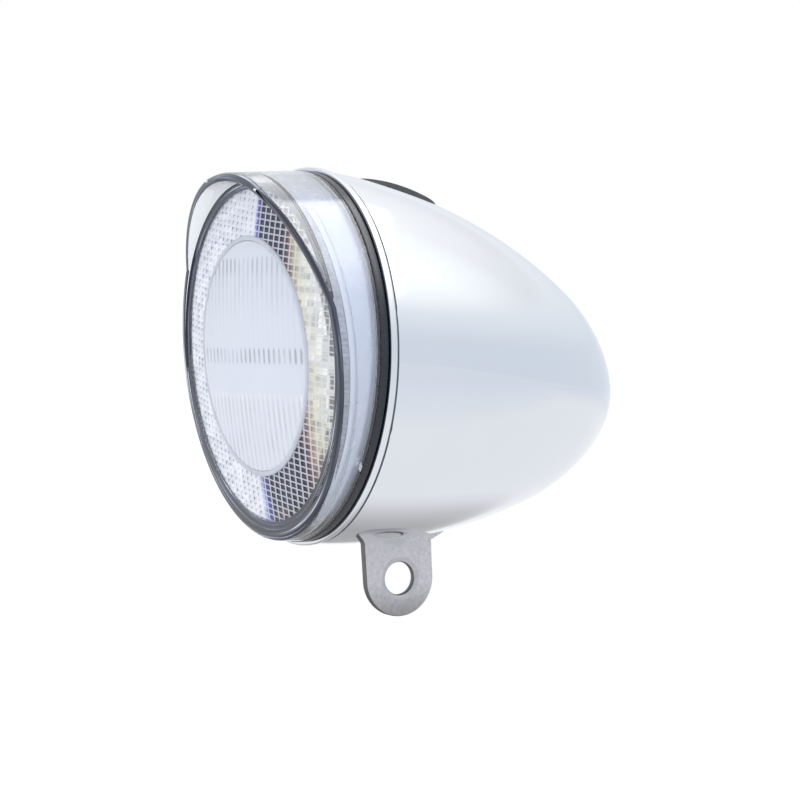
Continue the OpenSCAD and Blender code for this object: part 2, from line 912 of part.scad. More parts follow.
module contact(i) {
    at_cell(i) pipe(contact_d / 2 - contact_t, contact_d / 2, cell_back, contact_back);
}

module contact_top() {
    color("silver") contact(0);
}

module contact_left() {
    color("silver") contact(1);
}

module contact_right() {
    color("silver") contact(2);
}

shell();
lug_bracket();
backing_plate();
rivet_front();
rivet_rear();
button();
button_guide();
return_spring();
lens();
reflex_ring();
divider_ring();
beam_lens();
reflector();
carrier();
gasket();
snap_upper_right();
snap_upper_left();
snap_lower_left();
snap_lower_right();
led();
led_board();
heat_sink();
bulkhead();
screw_right();
screw_left();
screw_low();
control_board();
switch_body();
switch_stem();
driver_chip();
capacitor();
holder_front();
holder_rear();
holder_spine();
cell_top();
cell_left();
cell_right();
plate_front();
plate_rear();
contact_top();
contact_left();
contact_right();
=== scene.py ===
import json
from math import asin, atan2, cos, pi, radians, sin, sqrt, tan

import bpy
from mathutils import Matrix, Vector


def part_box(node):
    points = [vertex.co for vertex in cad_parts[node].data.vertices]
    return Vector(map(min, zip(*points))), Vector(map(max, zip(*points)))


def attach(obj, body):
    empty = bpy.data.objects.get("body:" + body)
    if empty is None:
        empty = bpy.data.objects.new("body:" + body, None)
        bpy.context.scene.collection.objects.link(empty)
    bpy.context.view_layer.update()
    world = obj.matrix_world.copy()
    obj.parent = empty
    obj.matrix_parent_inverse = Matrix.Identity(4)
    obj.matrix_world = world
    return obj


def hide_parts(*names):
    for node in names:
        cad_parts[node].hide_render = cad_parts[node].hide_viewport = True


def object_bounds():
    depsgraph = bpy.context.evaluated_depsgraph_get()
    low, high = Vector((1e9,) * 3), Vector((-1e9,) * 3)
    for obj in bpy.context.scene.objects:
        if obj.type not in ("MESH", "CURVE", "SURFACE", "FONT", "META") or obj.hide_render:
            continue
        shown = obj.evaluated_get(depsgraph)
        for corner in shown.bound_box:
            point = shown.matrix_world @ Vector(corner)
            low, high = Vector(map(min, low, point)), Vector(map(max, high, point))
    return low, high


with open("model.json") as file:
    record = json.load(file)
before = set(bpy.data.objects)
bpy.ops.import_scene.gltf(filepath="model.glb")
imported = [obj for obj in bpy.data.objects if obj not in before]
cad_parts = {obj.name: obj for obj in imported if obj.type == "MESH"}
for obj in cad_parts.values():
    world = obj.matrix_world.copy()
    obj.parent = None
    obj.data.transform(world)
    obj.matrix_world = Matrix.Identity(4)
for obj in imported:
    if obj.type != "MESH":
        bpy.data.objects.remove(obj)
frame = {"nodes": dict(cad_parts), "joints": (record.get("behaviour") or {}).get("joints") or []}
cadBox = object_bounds()
nodes = frame["nodes"]
print("frame:", len(nodes), "nodes")

mm = 0.001
white = (1, 1, 1)

# the mouth and the front face, placed by the frame's gasket
faceLook = {"sealGap": 0.05, "tilt": 5, "turn": 7.5, "ahead": 8.5, "radius": 32, "dome": 200}

gasketLow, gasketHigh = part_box("gasket")
mouth = Vector((0, gasketHigh.y + faceLook["sealGap"] * mm, (gasketLow.z + gasketHigh.z) / 2))
faceMid = mouth + Vector((0, -faceLook["ahead"] * mm, 0))
faceR = faceLook["radius"] * mm
domeR = faceLook["dome"] * mm
faceTilt = radians(faceLook["tilt"])
frontTurn = radians(faceLook["turn"])  # the lens and its face sit turned in the mouth
faceTurned = (faceTilt, frontTurn, 0)
backwards = (-pi / 2, 0, 0)  # a profile's Z runs back along the mouth's axis
faceBackwards = (faceTilt - pi / 2, frontTurn, 0)  # a profile's Z runs back from the tilted face
faceForwards = (faceTilt + pi / 2, frontTurn, 0)  # a flat sheet's Z looks out of the face


def domeAt(radius):
    # how far the domed face stands in front of the face plane
    return sqrt(domeR ** 2 - radius ** 2) - sqrt(domeR ** 2 - faceR ** 2)


# hand tools

toolLook = {"spinMerge": 0.002, "nodeMerge": 0.001, "nodeFlat": 0.4, "nearMiddle": 0.01, "cornerSteps": 4}


def leaveEdit():
    bpy.ops.object.mode_set(mode="OBJECT")


def pickOnly(piece):
    if bpy.context.object and bpy.context.object.mode == "EDIT":
        leaveEdit()
    bpy.ops.object.select_all(action="DESELECT")
    piece.select_set(True)
    bpy.context.view_layer.objects.active = piece


def pick(piece, kind, chosen):
    # leaves the piece in edit mode with the points, edges or faces that are chosen
    pickOnly(piece)
    bpy.ops.object.mode_set(mode="EDIT")
    bpy.ops.mesh.select_mode(type=kind)
    bpy.ops.mesh.select_all(action="DESELECT")
    leaveEdit()
    for item in chosen(piece.data):
        item.select = True
    bpy.ops.object.mode_set(mode="EDIT")


def pickPoints(piece, rule):
    pick(piece, "VERT", lambda mesh: [point for point in mesh.vertices if rule(point.co)])


def pickAll(piece):
    pickPoints(piece, lambda point: True)


def pickFaces(piece, rule):
    pick(piece, "FACE", lambda mesh: [face for face in mesh.polygons if rule(face.center, face.normal)])


def pickEdges(piece, rule):
    # the rule sees both ends of an edge and the normals of its faces
    def chosen(mesh):
        sides = {}
        for face in mesh.polygons:
            for key in face.edge_keys:
                sides.setdefault(key, []).append(face.normal.copy())
        return [edge for edge in mesh.edges
                if rule([mesh.vertices[i].co for i in edge.vertices], sides.get(edge.key, []))]
    pick(piece, "EDGE", chosen)


def addPrimitive(name, adder, **sizes):
    bpy.ops.object.select_all(action="DESELECT")
    adder(**sizes)
    piece = bpy.context.object
    piece.name = name
    piece.data.name = name
    return piece


def useModifier(piece, kind, **settings):
    pickOnly(piece)
    bpy.ops.object.modifier_add(type=kind)
    modifier = piece.modifiers[-1]
    for key, value in settings.items():
        setattr(modifier, key, value)
    bpy.ops.object.modifier_apply(modifier=modifier.name)


def place(piece, where=(0, 0, 0), turn=(0, 0, 0)):
    piece.location = where
    piece.rotation_euler = turn
    pickOnly(piece)
    bpy.ops.object.transform_apply(location=True, rotation=True, scale=True)


def joinInto(piece, others):
    pickOnly(piece)
    for other in others:
        other.select_set(True)
    bpy.ops.object.join()


def cutWith(piece, cutter, operation="DIFFERENCE", solver="MANIFOLD"):
    useModifier(piece, "BOOLEAN", object=cutter, operation=operation, solver=solver)
    bpy.data.objects.remove(cutter)


def sliceAt(piece, spot, facing, **sides):
    pickAll(piece)
    bpy.ops.mesh.bisect(plane_co=spot, plane_no=facing, **sides)
    leaveEdit()


def stretchHalves(piece, axis, reach):
    # moves the two halves of a drum apart
    for way in (-1, 1):
        pickPoints(piece, lambda point: point[axis] * way > toolLook["nearMiddle"] * mm)
        step = Vector((0, 0, 0))
        step[axis] = way * reach
        bpy.ops.transform.translate(value=step)
    leaveEdit()


def smoothBy(piece, degrees):
    pickOnly(piece)
    bpy.ops.object.shade_smooth_by_angle(angle=radians(degrees))


def smoothFlats(piece, degrees):
    # round edges shade softly while the flat faces stay flat
    smoothBy(piece, degrees)
    useModifier(piece, "WEIGHTED_NORMAL", mode="FACE_AREA", weight=100, keep_sharp=True)


def turnProfile(name, outline, steps, closed=False):
    # draws the outline point by point and spins it about Z
    piece = addPrimitive(name, bpy.ops.mesh.primitive_plane_add, size=mm)
    pickAll(piece)
    bpy.ops.mesh.merge(type="CENTER")
    points = [Vector((r, 0, along)) for r, along in outline]
    if closed:
        points.append(points[0])
    bpy.ops.transform.translate(value=points[0])
    for here, there in zip(points, points[1:]):
        bpy.ops.mesh.extrude_vertices_move(TRANSFORM_OT_translate={"value": there - here})
    bpy.ops.mesh.select_all(action="SELECT")
    bpy.ops.mesh.spin(steps=steps, angle=2 * pi, center=(0, 0, 0), axis=(0, 0, 1))
    bpy.ops.mesh.select_all(action="SELECT")
    bpy.ops.mesh.remove_doubles(threshold=toolLook["spinMerge"] * mm)
    bpy.ops.mesh.normals_make_consistent(inside=False)
    leaveEdit()
    return piece


def arc(centre, radius, start, end, count):
    turns = [start + (end - start) * i / count for i in range(count + 1)]
    return [(centre[0] + radius * cos(t), centre[1] + radius * sin(t)) for t in turns]


def roundedRing(inner, outer, front, back, corner):
    # closed outline of a ring with round corners
    middles = [(outer - corner, back - corner), (inner + corner, back - corner),
               (inner + corner, front + corner), (outer - corner, front + corner)]
    outline = []
    for i, middle in enumerate(middles):
        outline += arc(middle, corner, i * pi / 2, (i + 1) * pi / 2, toolLook["cornerSteps"])
    return outline


def copyOfNode(node, name):
    # a copy of a frame node with its loose triangles merged
    source = nodes[node]
    piece = source.copy()
    piece.data = source.data.copy()
    piece.parent = None
    piece.matrix_world = Matrix.Identity(4)
    for key in list(piece.keys()):
        del piece[key]
    bpy.context.scene.collection.objects.link(piece)
    piece.name = name
    piece.data.name = name
    pickOnly(piece)
    bpy.ops.mesh.customdata_custom_splitnormals_clear()
    pickAll(piece)
    bpy.ops.mesh.remove_doubles(threshold=toolLook["nodeMerge"] * mm)
    bpy.ops.mesh.dissolve_limited(angle_limit=radians(toolLook["nodeFlat"]))
    leaveEdit()
    return piece


def dress(piece, *finishes):
    piece.data.materials.clear()
    for finish in finishes:
        piece.data.materials.append(finish)


def paintFaces(piece, slot, rule):
    pickFaces(piece, rule)
    piece.active_material_index = slot
    bpy.ops.object.material_slot_assign()
    leaveEdit()


def finishPiece(piece, body, slot, *replaced):
    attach(piece, body)
    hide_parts(*replaced)
    print("piece:", piece.name, len(piece.data.polygons), "faces")


# shader nodes, each fed by other nodes' outputs or by plain values

def feed(tree, node, feeds):
    for key, given in feeds.items():
        if isinstance(given, bpy.types.NodeSocket):
            tree.links.new(given, node.inputs[key])
        else:
            node.inputs[key].default_value = given


def addNode(tree, kind, feeds=None, **settings):
    node = tree.nodes.new(kind)
    for key, value in settings.items():
        setattr(node, key, value)
    feed(tree, node, feeds or {})
    return node


def colour(rgb):
    return (*rgb, 1.0)


def objectSpot(tree):
    return addNode(tree, "ShaderNodeTexCoord").outputs["Object"]


def splitAxes(tree, spot):
    return addNode(tree, "ShaderNodeSeparateXYZ", {"Vector": spot}).outputs


def reckon(tree, operation, *feeds):
    return addNode(tree, "ShaderNodeMath", dict(enumerate(feeds)), operation=operation).outputs[0]


def vectors(tree, operation, *feeds):
    node = addNode(tree, "ShaderNodeVectorMath", dict(enumerate(feeds)), operation=operation)
    return node.outputs["Value" if operation in ("LENGTH", "DISTANCE") else "Vector"]


def scaled(tree, given, share):
    return addNode(tree, "ShaderNodeVectorMath", {0: given, "Scale": share}, operation="SCALE").outputs[0]


def mapped(tree, given, start, end, low=0, high=1, **settings):
    feeds = {"Value": given, "From Min": start, "From Max": end, "To Min": low, "To Max": high}
    return addNode(tree, "ShaderNodeMapRange", feeds, **settings).outputs["Result"]


def blended(tree, share, first, second, **settings):
    feeds = {"Factor": share, "A": first, "B": second}
    return addNode(tree, "ShaderNodeMix", feeds, data_type="RGBA", **settings).outputs["Result"]


def noise(tree, spot, scale, detail=2):
    feeds = {"Vector": spot, "Scale": scale, "Detail": detail}
    return addNode(tree, "ShaderNodeTexNoise", feeds).outputs["Fac"]


def ramped(tree, given, stops):
    node = addNode(tree, "ShaderNodeValToRGB", {"Fac": given})
    elements = node.color_ramp.elements
    while len(elements) > 1:
        elements.remove(elements[-1])
    elements[0].position = stops[0][0]
    elements[0].color = colour(stops[0][1])
    for position, rgb in stops[1:]:
        elements.new(position).color = colour(rgb)
    return node.outputs["Color"]


def showBoth(tree, share, first, second, result):
    both = addNode(tree, "ShaderNodeMixShader", {"Fac": share, 1: first, 2: second})
    feed(tree, tree.nodes[result], {"Surface": both.outputs["Shader"]})


def newGroup(name, given, wanted):
    group = bpy.data.node_groups.new(name, "ShaderNodeTree")
    for way, sockets in [("INPUT", given), ("OUTPUT", wanted)]:
        for socket, kind in sockets.items():
            group.interface.new_socket(socket, in_out=way, socket_type="NodeSocket" + kind)
    return group


def newFinish(name):
    finish = bpy.data.materials.new(name)
    finish.use_nodes = True
    return finish


def shaderOf(finish):
    return finish.node_tree.nodes["Principled BSDF"]


# finishes

grainLook = {"detail": 3, "finer": 5, "from": 0.3, "to": 0.7}


def makeGrain(look):
    # uneven colour, roughness and height, shared by most finishes
    group = newGroup("fineGrain", {"Scale": "Float", "Dark": "Color", "Light": "Color", "Smooth": "Float",
                                   "Dull": "Float"},
                     {"Colour": "Color", "Roughness": "Float", "Height": "Float"})
    given = addNode(group, "NodeGroupInput").outputs
    spot = objectSpot(group)
    broad = noise(group, spot, given["Scale"], look["detail"])
    fine = noise(group, spot, reckon(group, "MULTIPLY", given["Scale"], look["finer"]))
    addNode(group, "NodeGroupOutput", {
        "Colour": blended(group, broad, given["Dark"], given["Light"]),
        "Roughness": mapped(group, broad, look["from"], look["to"], given["Smooth"], given["Dull"]),
        "Height": fine})
    return group


fineGrain = makeGrain(grainLook)


def grainFinish(name, look):
    # a finish whose colour, roughness and surface follow the grain
    finish = newFinish(name)
    tree = finish.node_tree
    grain = addNode(tree, "ShaderNodeGroup", {
        "Scale": look["scale"], "Smooth": look["smooth"], "Dull": look["dull"],
        "Dark": colour(look.get("dark", white)), "Light": colour(look.get("light", white))},
        node_tree=fineGrain)
    bump = addNode(tree, "ShaderNodeBump", {
        "Strength": look.get("bump", 0.1), "Distance": look.get("bumpDepth", 0.02) * mm,
        "Height": grain.outputs["Height"]})
    feed(tree, shaderOf(finish), {
        "Base Color": grain.outputs["Colour"], "Roughness": grain.outputs["Roughness"],
        "Normal": bump.outputs["Normal"], "Metallic": look.get("metal", 0),
        "Coat Weight": look.get("coat", 0), "Specular IOR Level": look.get("shine", 0.5)})
    return finish


def clearFinish(name, look):
    # clear moulded plastic; lamps shine through it
    finish = grainFinish(name, look)
    tree = finish.node_tree
    shader = shaderOf(finish)
    feed(tree, shader, {"Transmission Weight": look["clear"], "IOR": look["bend"]})
    path = addNode(tree, "ShaderNodeLightPath").outputs
    through = addNode(tree, "ShaderNodeBsdfTransparent", {"Color": colour(look["light"])})
    showBoth(tree, path["Is Shadow Ray"], shader.outputs["BSDF"], through.outputs["BSDF"], "Material Output")
    return finish


def paintedEdgeRings(look, finish):
    # painted shade and glints: the cut edges of the clear plastic are painted with thin dark and bright
    # rings about the mouth's axis, standing in for what they refract
    tree = finish.node_tree
    across = vectors(tree, "MULTIPLY", vectors(tree, "SUBTRACT", objectSpot(tree), mouth), (1, 0, 1))
    ring = reckon(tree, "DIVIDE", vectors(tree, "LENGTH", across), look["ringWide"] * mm)
    along = scaled(tree, vectors(tree, "NORMALIZE", across), look["ringTurns"])
    lifted = addNode(tree, "ShaderNodeCombineXYZ", {"Y": ring}).outputs[0]
    streaks = noise(tree, vectors(tree, "ADD", along, lifted), 1)
    feed(tree, shaderOf(finish), {"Base Color": ramped(tree, streaks, look["rings"])})


mirrorChrome = grainFinish("mirrorChrome", {
    "dark": (0.70, 0.735, 0.79), "light": (0.73, 0.76, 0.81), "smooth": 0.05, "dull": 0.09,
    "scale": 45, "bump": 0.02, "metal": 1})
darkSeam = grainFinish("darkSeam", {
    "dark": (0.10, 0.105, 0.125), "light": (0.17, 0.18, 0.21), "smooth": 0.5, "dull": 0.7, "scale": 300})
print("finishes: shared ones made")


# chrome shell with its lip, groove and button opening

shellLook = {
    "wall": 1.2, "droop": 6.9, "shoulderArc": 46, "tailRoom": 5.65, "tailSlope": 40.9, "nosePast": 6.7,
    "lead": 6, "sideSteps": 44, "shoulderSteps": 16, "noseSteps": 14, "spinSteps": 192, "shadeFrom": 35,
    "lipLength": 1.3, "lipHeight": 0.5, "lipRoot": 0.6, "lipRound": 0.28,
    "grooveWidth": 0.55, "grooveDepth": 0.3, "floorThick": 0.5, "floorFrom": 1.0, "floorPast": 0.3,
    "floorRound": 0.1,
    "buttonLength": 17.6, "buttonWidth": 9.0, "buttonGap": 0.3, "capBack": 3.15, "slotDepth": 12,
    "slotSteps": 64}

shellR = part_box("shell")[1].x - shellLook["lipHeight"] * mm


def shellOutline(look):
    # side arc level at the mouth, shoulder arc past the battery holder, nose arc to the tip
    low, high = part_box("holder_rear")
    holderR = (high.x - low.x) / 2
    holderBack = high.y - mouth.y
    slope = radians(look["tailSlope"])
    shoulder = look["shoulderArc"] * mm
    middle = (holderR + look["tailRoom"] * mm - shoulder * cos(slope), holderBack - shoulder * sin(slope))
    inset = middle[0] - shellR
    side = (shoulder ** 2 - inset ** 2 - middle[1] ** 2) / (2 * (inset + shoulder))
    sideTurn = asin(middle[1] / (side - shoulder))
    noseTurn = asin((holderBack + look["nosePast"] * mm - middle[1]) / shoulder)
    noseR = (middle[0] + shoulder * cos(noseTurn)) / cos(noseTurn)
    noseMid = middle[1] + (shoulder - noseR) * sin(noseTurn)
    return (arc((shellR - side, 0), side, asin(-look["lead"] * mm / side), sideTurn, look["sideSteps"])
            + arc(middle, shoulder, sideTurn, noseTurn, look["shoulderSteps"])[1:]
            + arc((0, noseMid), noseR, noseTurn, pi / 2, look["noseSteps"])[1:])


def makeShell(look):
    steps = look["spinSteps"]
    shell = turnProfile("chromeShell", shellOutline(look), steps)
    place(shell, mouth, (-pi / 2 - radians(look["droop"]), 0, 0))
    grooveEnd = (look["lipLength"] + look["grooveWidth"]) * mm
    sliceAt(shell, mouth + Vector((0, grooveEnd, 0)), (0, 1, 0), clear_inner=True)
    useModifier(shell, "SOLIDIFY", thickness=look["wall"] * mm, offset=-1, use_even_offset=True)

    # the button's slot is cut where its cap stands, along the way it is pressed
    slotLong = (look["buttonLength"] + 2 * look["buttonGap"]) * mm
    slotWide = (look["buttonWidth"] + 2 * look["buttonGap"]) * mm
    cutter = addPrimitive("slotCutter", bpy.ops.mesh.primitive_cylinder_add, vertices=look["slotSteps"],
                          radius=slotWide / 2, depth=look["slotDepth"] * mm)
    stretchHalves(cutter, 1, (slotLong - slotWide) / 2)
    low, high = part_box("button")
    press = [Vector(joint["axis"]) for joint in frame["joints"] if joint["name"] == "button_press"][0]
    capMid = Vector((0, (low.y + high.y) / 2 - press.y * look["capBack"] * mm, high.z))
    place(cutter, capMid, (atan2(press.y, -press.z), 0, 0))
    cutWith(shell, cutter, solver="EXACT")

    # the lip is a ring of its own, and the groove's floor lies between it and the shell
    floorR = shellR - look["grooveDepth"] * mm
    lipOutline = roundedRing(floorR - look["lipRoot"] * mm, shellR + look["lipHeight"] * mm, 0,
                             look["lipLength"] * mm, look["lipRound"] * mm)
    floorOutline = roundedRing(floorR - look["floorThick"] * mm, floorR, look["floorFrom"] * mm,
                               grooveEnd + look["floorPast"] * mm, look["floorRound"] * mm)
    lip = turnProfile("shellLip", lipOutline, steps, closed=True)
    place(lip, mouth, backwards)
    floor = turnProfile("grooveFloor", floorOutline, steps, closed=True)
    place(floor, mouth, backwards)
    dress(shell, mirrorChrome, darkSeam)
    dress(lip, mirrorChrome)
    dress(floor, darkSeam)
    joinInto(shell, [lip, floor])
    smoothBy(shell, look["shadeFrom"])
    finishPiece(shell, "housing", "chrome_shell", "shell")


makeShell(shellLook)


# black gasket

gasketLook = {
    "wide": 2.45, "round": 0.45, "steps": 160, "shadeFrom": 40,
    "dark": (0.010, 0.012, 0.019), "light": (0.020, 0.023, 0.034), "smooth": 0.22, "dull": 0.34,
    "scale": 900, "bump": 0.06, "shine": 0.42}


def makeGasket(look):
    outer = (gasketHigh.x - gasketLow.x) / 2
    outline = roundedRing(outer - look["wide"] * mm, outer, gasketLow.y - mouth.y, gasketHigh.y - mouth.y,
                          look["round"] * mm)
    ring = turnProfile("gasketRing", outline, look["steps"], closed=True)
    place(ring, mouth, backwards)
    dress(ring, grainFinish("softRubber", look))
    smoothBy(ring, look["shadeFrom"])
    finishPiece(ring, "front_unit", "black_rubber", "gasket")


makeGasket(gasketLook)


# clear lens with its hood

lensLook = {
    "wall": 2.35, "draft": 4.3, "hoodThick": 1.7, "hoodFront": 6.3, "hoodSlope": 18.8, "hoodPast": 1,
    "rimFront": 9.4, "rimLean": 5.9, "ledge": 0.5, "openingHalf": 3, "borePast": 2,
    "notchWide": 9.0, "notchDeep": 0.9, "notchWall": 0.95, "notchTall": 20,
    "outerRound": 1.0, "edgeRound": 0.2, "sharpFrom": 40, "merge": 0.03, "shadeFrom": 30, "steps": 240,
    "blockSize": 200, "frostAbove": 27, "frontFacing": -0.3, "inwards": -0.8, "rimFacing": (-0.7, -0.45)}

clearLook = {
    "dark": (0.89, 0.92, 0.985), "light": (0.94, 0.96, 1.0), "smooth": 0.0, "dull": 0.02,
    "scale": 60, "bump": 0.03, "bend": 1.49, "clear": 0.95}
edgeLook = {
    "smooth": 0.12, "dull": 0.25, "scale": 90, "bump": 0.05, "coat": 0.1, "ringWide": 0.42, "ringTurns": 1.6,
    "rings": [(0.40, (0.008, 0.011, 0.022)), (0.51, (0.028, 0.035, 0.06)), (0.60, (0.075, 0.09, 0.14)),
              (0.67, (0.30, 0.34, 0.43)), (0.74, (0.70, 0.74, 0.84))]}
hazyLook = {
    "dark": (0.80, 0.85, 0.97), "light": (0.88, 0.92, 1.0), "smooth": 0.03, "dull": 0.14,
    "scale": 500, "bump": 0.1, "bumpDepth": 0.05, "bend": 1.49, "clear": 0.87}
frostLook = {
    "dark": (0.76, 0.81, 0.95), "light": (0.94, 0.96, 1.0), "smooth": 0.1, "dull": 0.35,
    "scale": 320, "bump": 0.5, "bumpDepth": 0.12, "bend": 1.49, "clear": 0.58}


def makeLens(look):
    low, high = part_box("lens")
    rearR = (high.x - low.x) / 2
    boreR = rearR - look["wall"] * mm
    front = low.y - mouth.y
    back = high.y - mouth.y
    fall = tan(radians(look["draft"]))

    def turned(name, start, startR, end, endR, where, turn):
        outline = [(0, start), (startR, start), (endR, end), (0, end)]
        piece = turnProfile(name, outline, look["steps"])
        place(piece, where, turn)
        return piece

    def cone(name, thinned, start):
        return turned(name, start, rearR - thinned - (back - start) * fall, back, rearR - thinned,
                      mouth, backwards)

    def inFront(name, ahead, lean=0):
        # big block in front of a plane that leans about X
        block = addPrimitive(name, bpy.ops.mesh.primitive_cube_add, size=look["blockSize"] * mm)
        facing = (0, cos(radians(lean)), sin(radians(lean)))
        sliceAt(block, (0, -ahead * mm, 0), facing, use_fill=True, clear_outer=True)
        return block

    lens = cone("clearLens", 0, front)
    # inside of the hood, in front of the ledge
    hood = cone("hoodInside", look["hoodThick"] * mm, front - look["hoodPast"] * mm)
    ahead = inFront("aheadOfLedge", look["ledge"])
    place(ahead, faceMid, faceTurned)
    cutWith(hood, ahead, "INTERSECT")
    cutWith(lens, hood)

    # opening of the face, and the bore behind it
    half = look["openingHalf"] * mm
    cutWith(lens, turned("faceOpening", -half, faceR, half, faceR, faceMid, faceBackwards))
    bore = turned("lensBore", front, boreR, look["borePast"] * mm, boreR, mouth, backwards)
    ahead = inFront("aheadOfFace", 0)
    place(ahead, faceMid, faceTurned)
    cutWith(bore, ahead)
    cutWith(lens, bore)

    # the rim leans, and the hood's sides slope up from it
    wedge = inFront("rimFront", look["rimFront"], look["rimLean"])
    cutWith(wedge, inFront("hoodFront", look["hoodFront"], look["hoodSlope"]), "INTERSECT")
    place(wedge, mouth, (0, frontTurn, 0))
    cutWith(lens, wedge)

    # notch for a coin at the lowest point of the rear edge
    notch = addPrimitive("coinNotch", bpy.ops.mesh.primitive_cube_add, size=1)
    notch.scale = Vector((look["notchWide"], 2 * look["notchDeep"], look["notchTall"])) * mm
    place(notch, (0, mouth.y + back, mouth.z - boreR - (look["notchWall"] + look["notchTall"] / 2) * mm))
    cutWith(lens, notch)

    def offAxis(point):
        return sqrt(point.x ** 2 + (point.z - mouth.z) ** 2)

    def outerFrontEdge(ends, normals):
        facing = sorted(normal.y for normal in normals)
        return (len(facing) == 2 and facing[0] < look["rimFacing"][0] and facing[1] > look["rimFacing"][1]
                and min(offAxis(point) for point in ends) > rearR - look["hoodThick"] * mm)

    def sharpEdge(ends, normals):
        return len(normals) == 2 and normals[0].dot(normals[1]) < cos(radians(look["sharpFrom"]))

    pickAll(lens)
    bpy.ops.mesh.remove_doubles(threshold=look["merge"] * mm)
    pickEdges(lens, outerFrontEdge)
    bpy.ops.mesh.bevel(offset=look["outerRound"] * mm, segments=4, affect="EDGES")
    pickEdges(lens, sharpEdge)
    bpy.ops.mesh.bevel(offset=look["edgeRound"] * mm, segments=2, affect="EDGES")
    leaveEdit()

    # the lens's front edges take the painted shade and glints
    edgeShadeAndGlint = grainFinish("edgeShadeAndGlint", edgeLook)
    paintedEdgeRings(edgeLook, edgeShadeAndGlint)
    dress(lens, clearFinish("clearPlastic", clearLook), edgeShadeAndGlint, clearFinish("hazyPlastic", hazyLook),
          clearFinish("frostedTop", frostLook))

    def frontEdge(centre, normal):
        return normal.y < look["frontFacing"]

    def insideWall(centre, normal):
        outwards = centre.x * normal.x + (centre.z - mouth.z) * normal.z
        return outwards < look["inwards"] * offAxis(centre) and centre.y > faceMid.y

    def insideTop(centre, normal):
        return insideWall(centre, normal) and centre.z > mouth.z + look["frostAbove"] * mm

    for slot, rule in [(1, frontEdge), (2, insideWall), (3, insideTop)]:
        paintFaces(lens, slot, rule)
    smoothFlats(lens, look["shadeFrom"])
    finishPiece(lens, "front_unit", "clear_lens", "lens")


makeLens(lensLook)


# reflex ring: rows of prism cells in a domed ring, with a toothed edge

reflexLook = {
    "inner": 23.2, "outer": 32.7, "cellWide": 2.1, "cellHigh": 1.21, "rib": 0.12, "dip": 0.16, "tick": 0.3,
    "thick": 1.8, "columns": 34, "rows": 58, "slant": (-0.22, 0.22, 0), "spare": 1.2, "cutHalf": 6,
    "cutSteps": 160, "teeth": 190, "toothR": (32.72, 33.1), "toothRoot": 0.5, "toothSpan": (-0.1, 1.9),
    "toothRound": 0.3,
    "ribPale": (0.60, 0.62, 0.71), "uneven": (0.72, 1.2), "rough": (0.12, 0.3), "shine": 0.1,
    "finishes": {"prismRib": ((0.64, 0.67, 0.75), (0.78, 0.80, 0.87), 0.72),
                 "prismCell": ((0.62, 0.65, 0.73), (0.80, 0.82, 0.88), 0),
                 "prismTickShade": ((0.24, 0.26, 0.33), (0.62, 0.65, 0.73), 0)}}

# painted reflection: colours by place on the ring, from pale by blue to dark, and by amber back to pale,
# standing in for the light the prisms send back
bandLook = {
    "blue": (0.08, 2.0), "amber": (-0.1, 19.4), "between": (0.25, 0.75),
    "stops": [(0.19, (0.80, 0.82, 0.88)), (0.225, (0.42, 0.52, 0.85)), (0.26, (0.13, 0.13, 0.46)),
              (0.31, (0.048, 0.052, 0.08)), (0.66, (0.052, 0.05, 0.068)), (0.72, (0.17, 0.10, 0.095)),
              (0.77, (0.40, 0.31, 0.22)), (0.83, (0.56, 0.54, 0.41)), (0.90, (0.64, 0.64, 0.55)),
              (1.0, (0.69, 0.70, 0.67))],
    "mask": [(0.20, (0, 0, 0)), (0.26, (1, 1, 1))],
    "rimFrom": 29.6, "rimWide": 0.5, "rimShare": 0.8, "rimSome": (0.4, 0.6), "rimDark": (0.10, 0.085, 0.09)}

frostedLook = {
    "dark": (0.30, 0.32, 0.40), "light": (1.0, 1.0, 1.0), "smooth": 0.1, "dull": 0.3, "scale": 700,
    "bump": 0.6, "bumpDepth": 0.2}


def makeBands(look, cell):
    group = newGroup("prismBands", {}, {"Colour": "Color", "Dark band": "Float", "Sparkle": "Float"})
    inMm = addNode(group, "ShaderNodeMapping", {
        "Vector": objectSpot(group), "Location": (0, -faceMid.y / mm, -faceMid.z / mm),
        "Scale": (1 / mm, 1 / mm, 1 / mm)}).outputs["Vector"]
    axes = splitAxes(group, inMm)
    blue, amber = [reckon(group, "MULTIPLY_ADD", axes["Z"], *look[tone]) for tone in ("blue", "amber")]
    across = mapped(group, axes["X"], blue, amber, *look["between"], clamp=False)
    # each cell is a little lighter or darker than its neighbours
    cells = addNode(group, "ShaderNodeMapping", {
        "Vector": inMm, "Rotation": (0, -frontTurn, 0),
        "Scale": (1 / cell["cellWide"], 0, 1 / cell["cellHigh"])}).outputs["Vector"]
    snapped = vectors(group, "FLOOR", cells)
    chance = addNode(group, "ShaderNodeTexWhiteNoise", {"Vector": snapped}).outputs["Value"]
    # painted shade: some cells at the ring's outer edge are painted dark again
    rim = mapped(group, vectors(group, "LENGTH", inMm), look["rimFrom"], look["rimFrom"] + look["rimWide"],
                 0, look["rimShare"])
    spotted = reckon(group, "MULTIPLY", rim, mapped(group, chance, *look["rimSome"]))
    addNode(group, "NodeGroupOutput", {
        "Colour": blended(group, spotted, ramped(group, across, look["stops"]), colour(look["rimDark"])),
        "Dark band": ramped(group, across, look["mask"]), "Sparkle": chance})
    return group


prismBands = makeBands(bandLook, reflexLook)


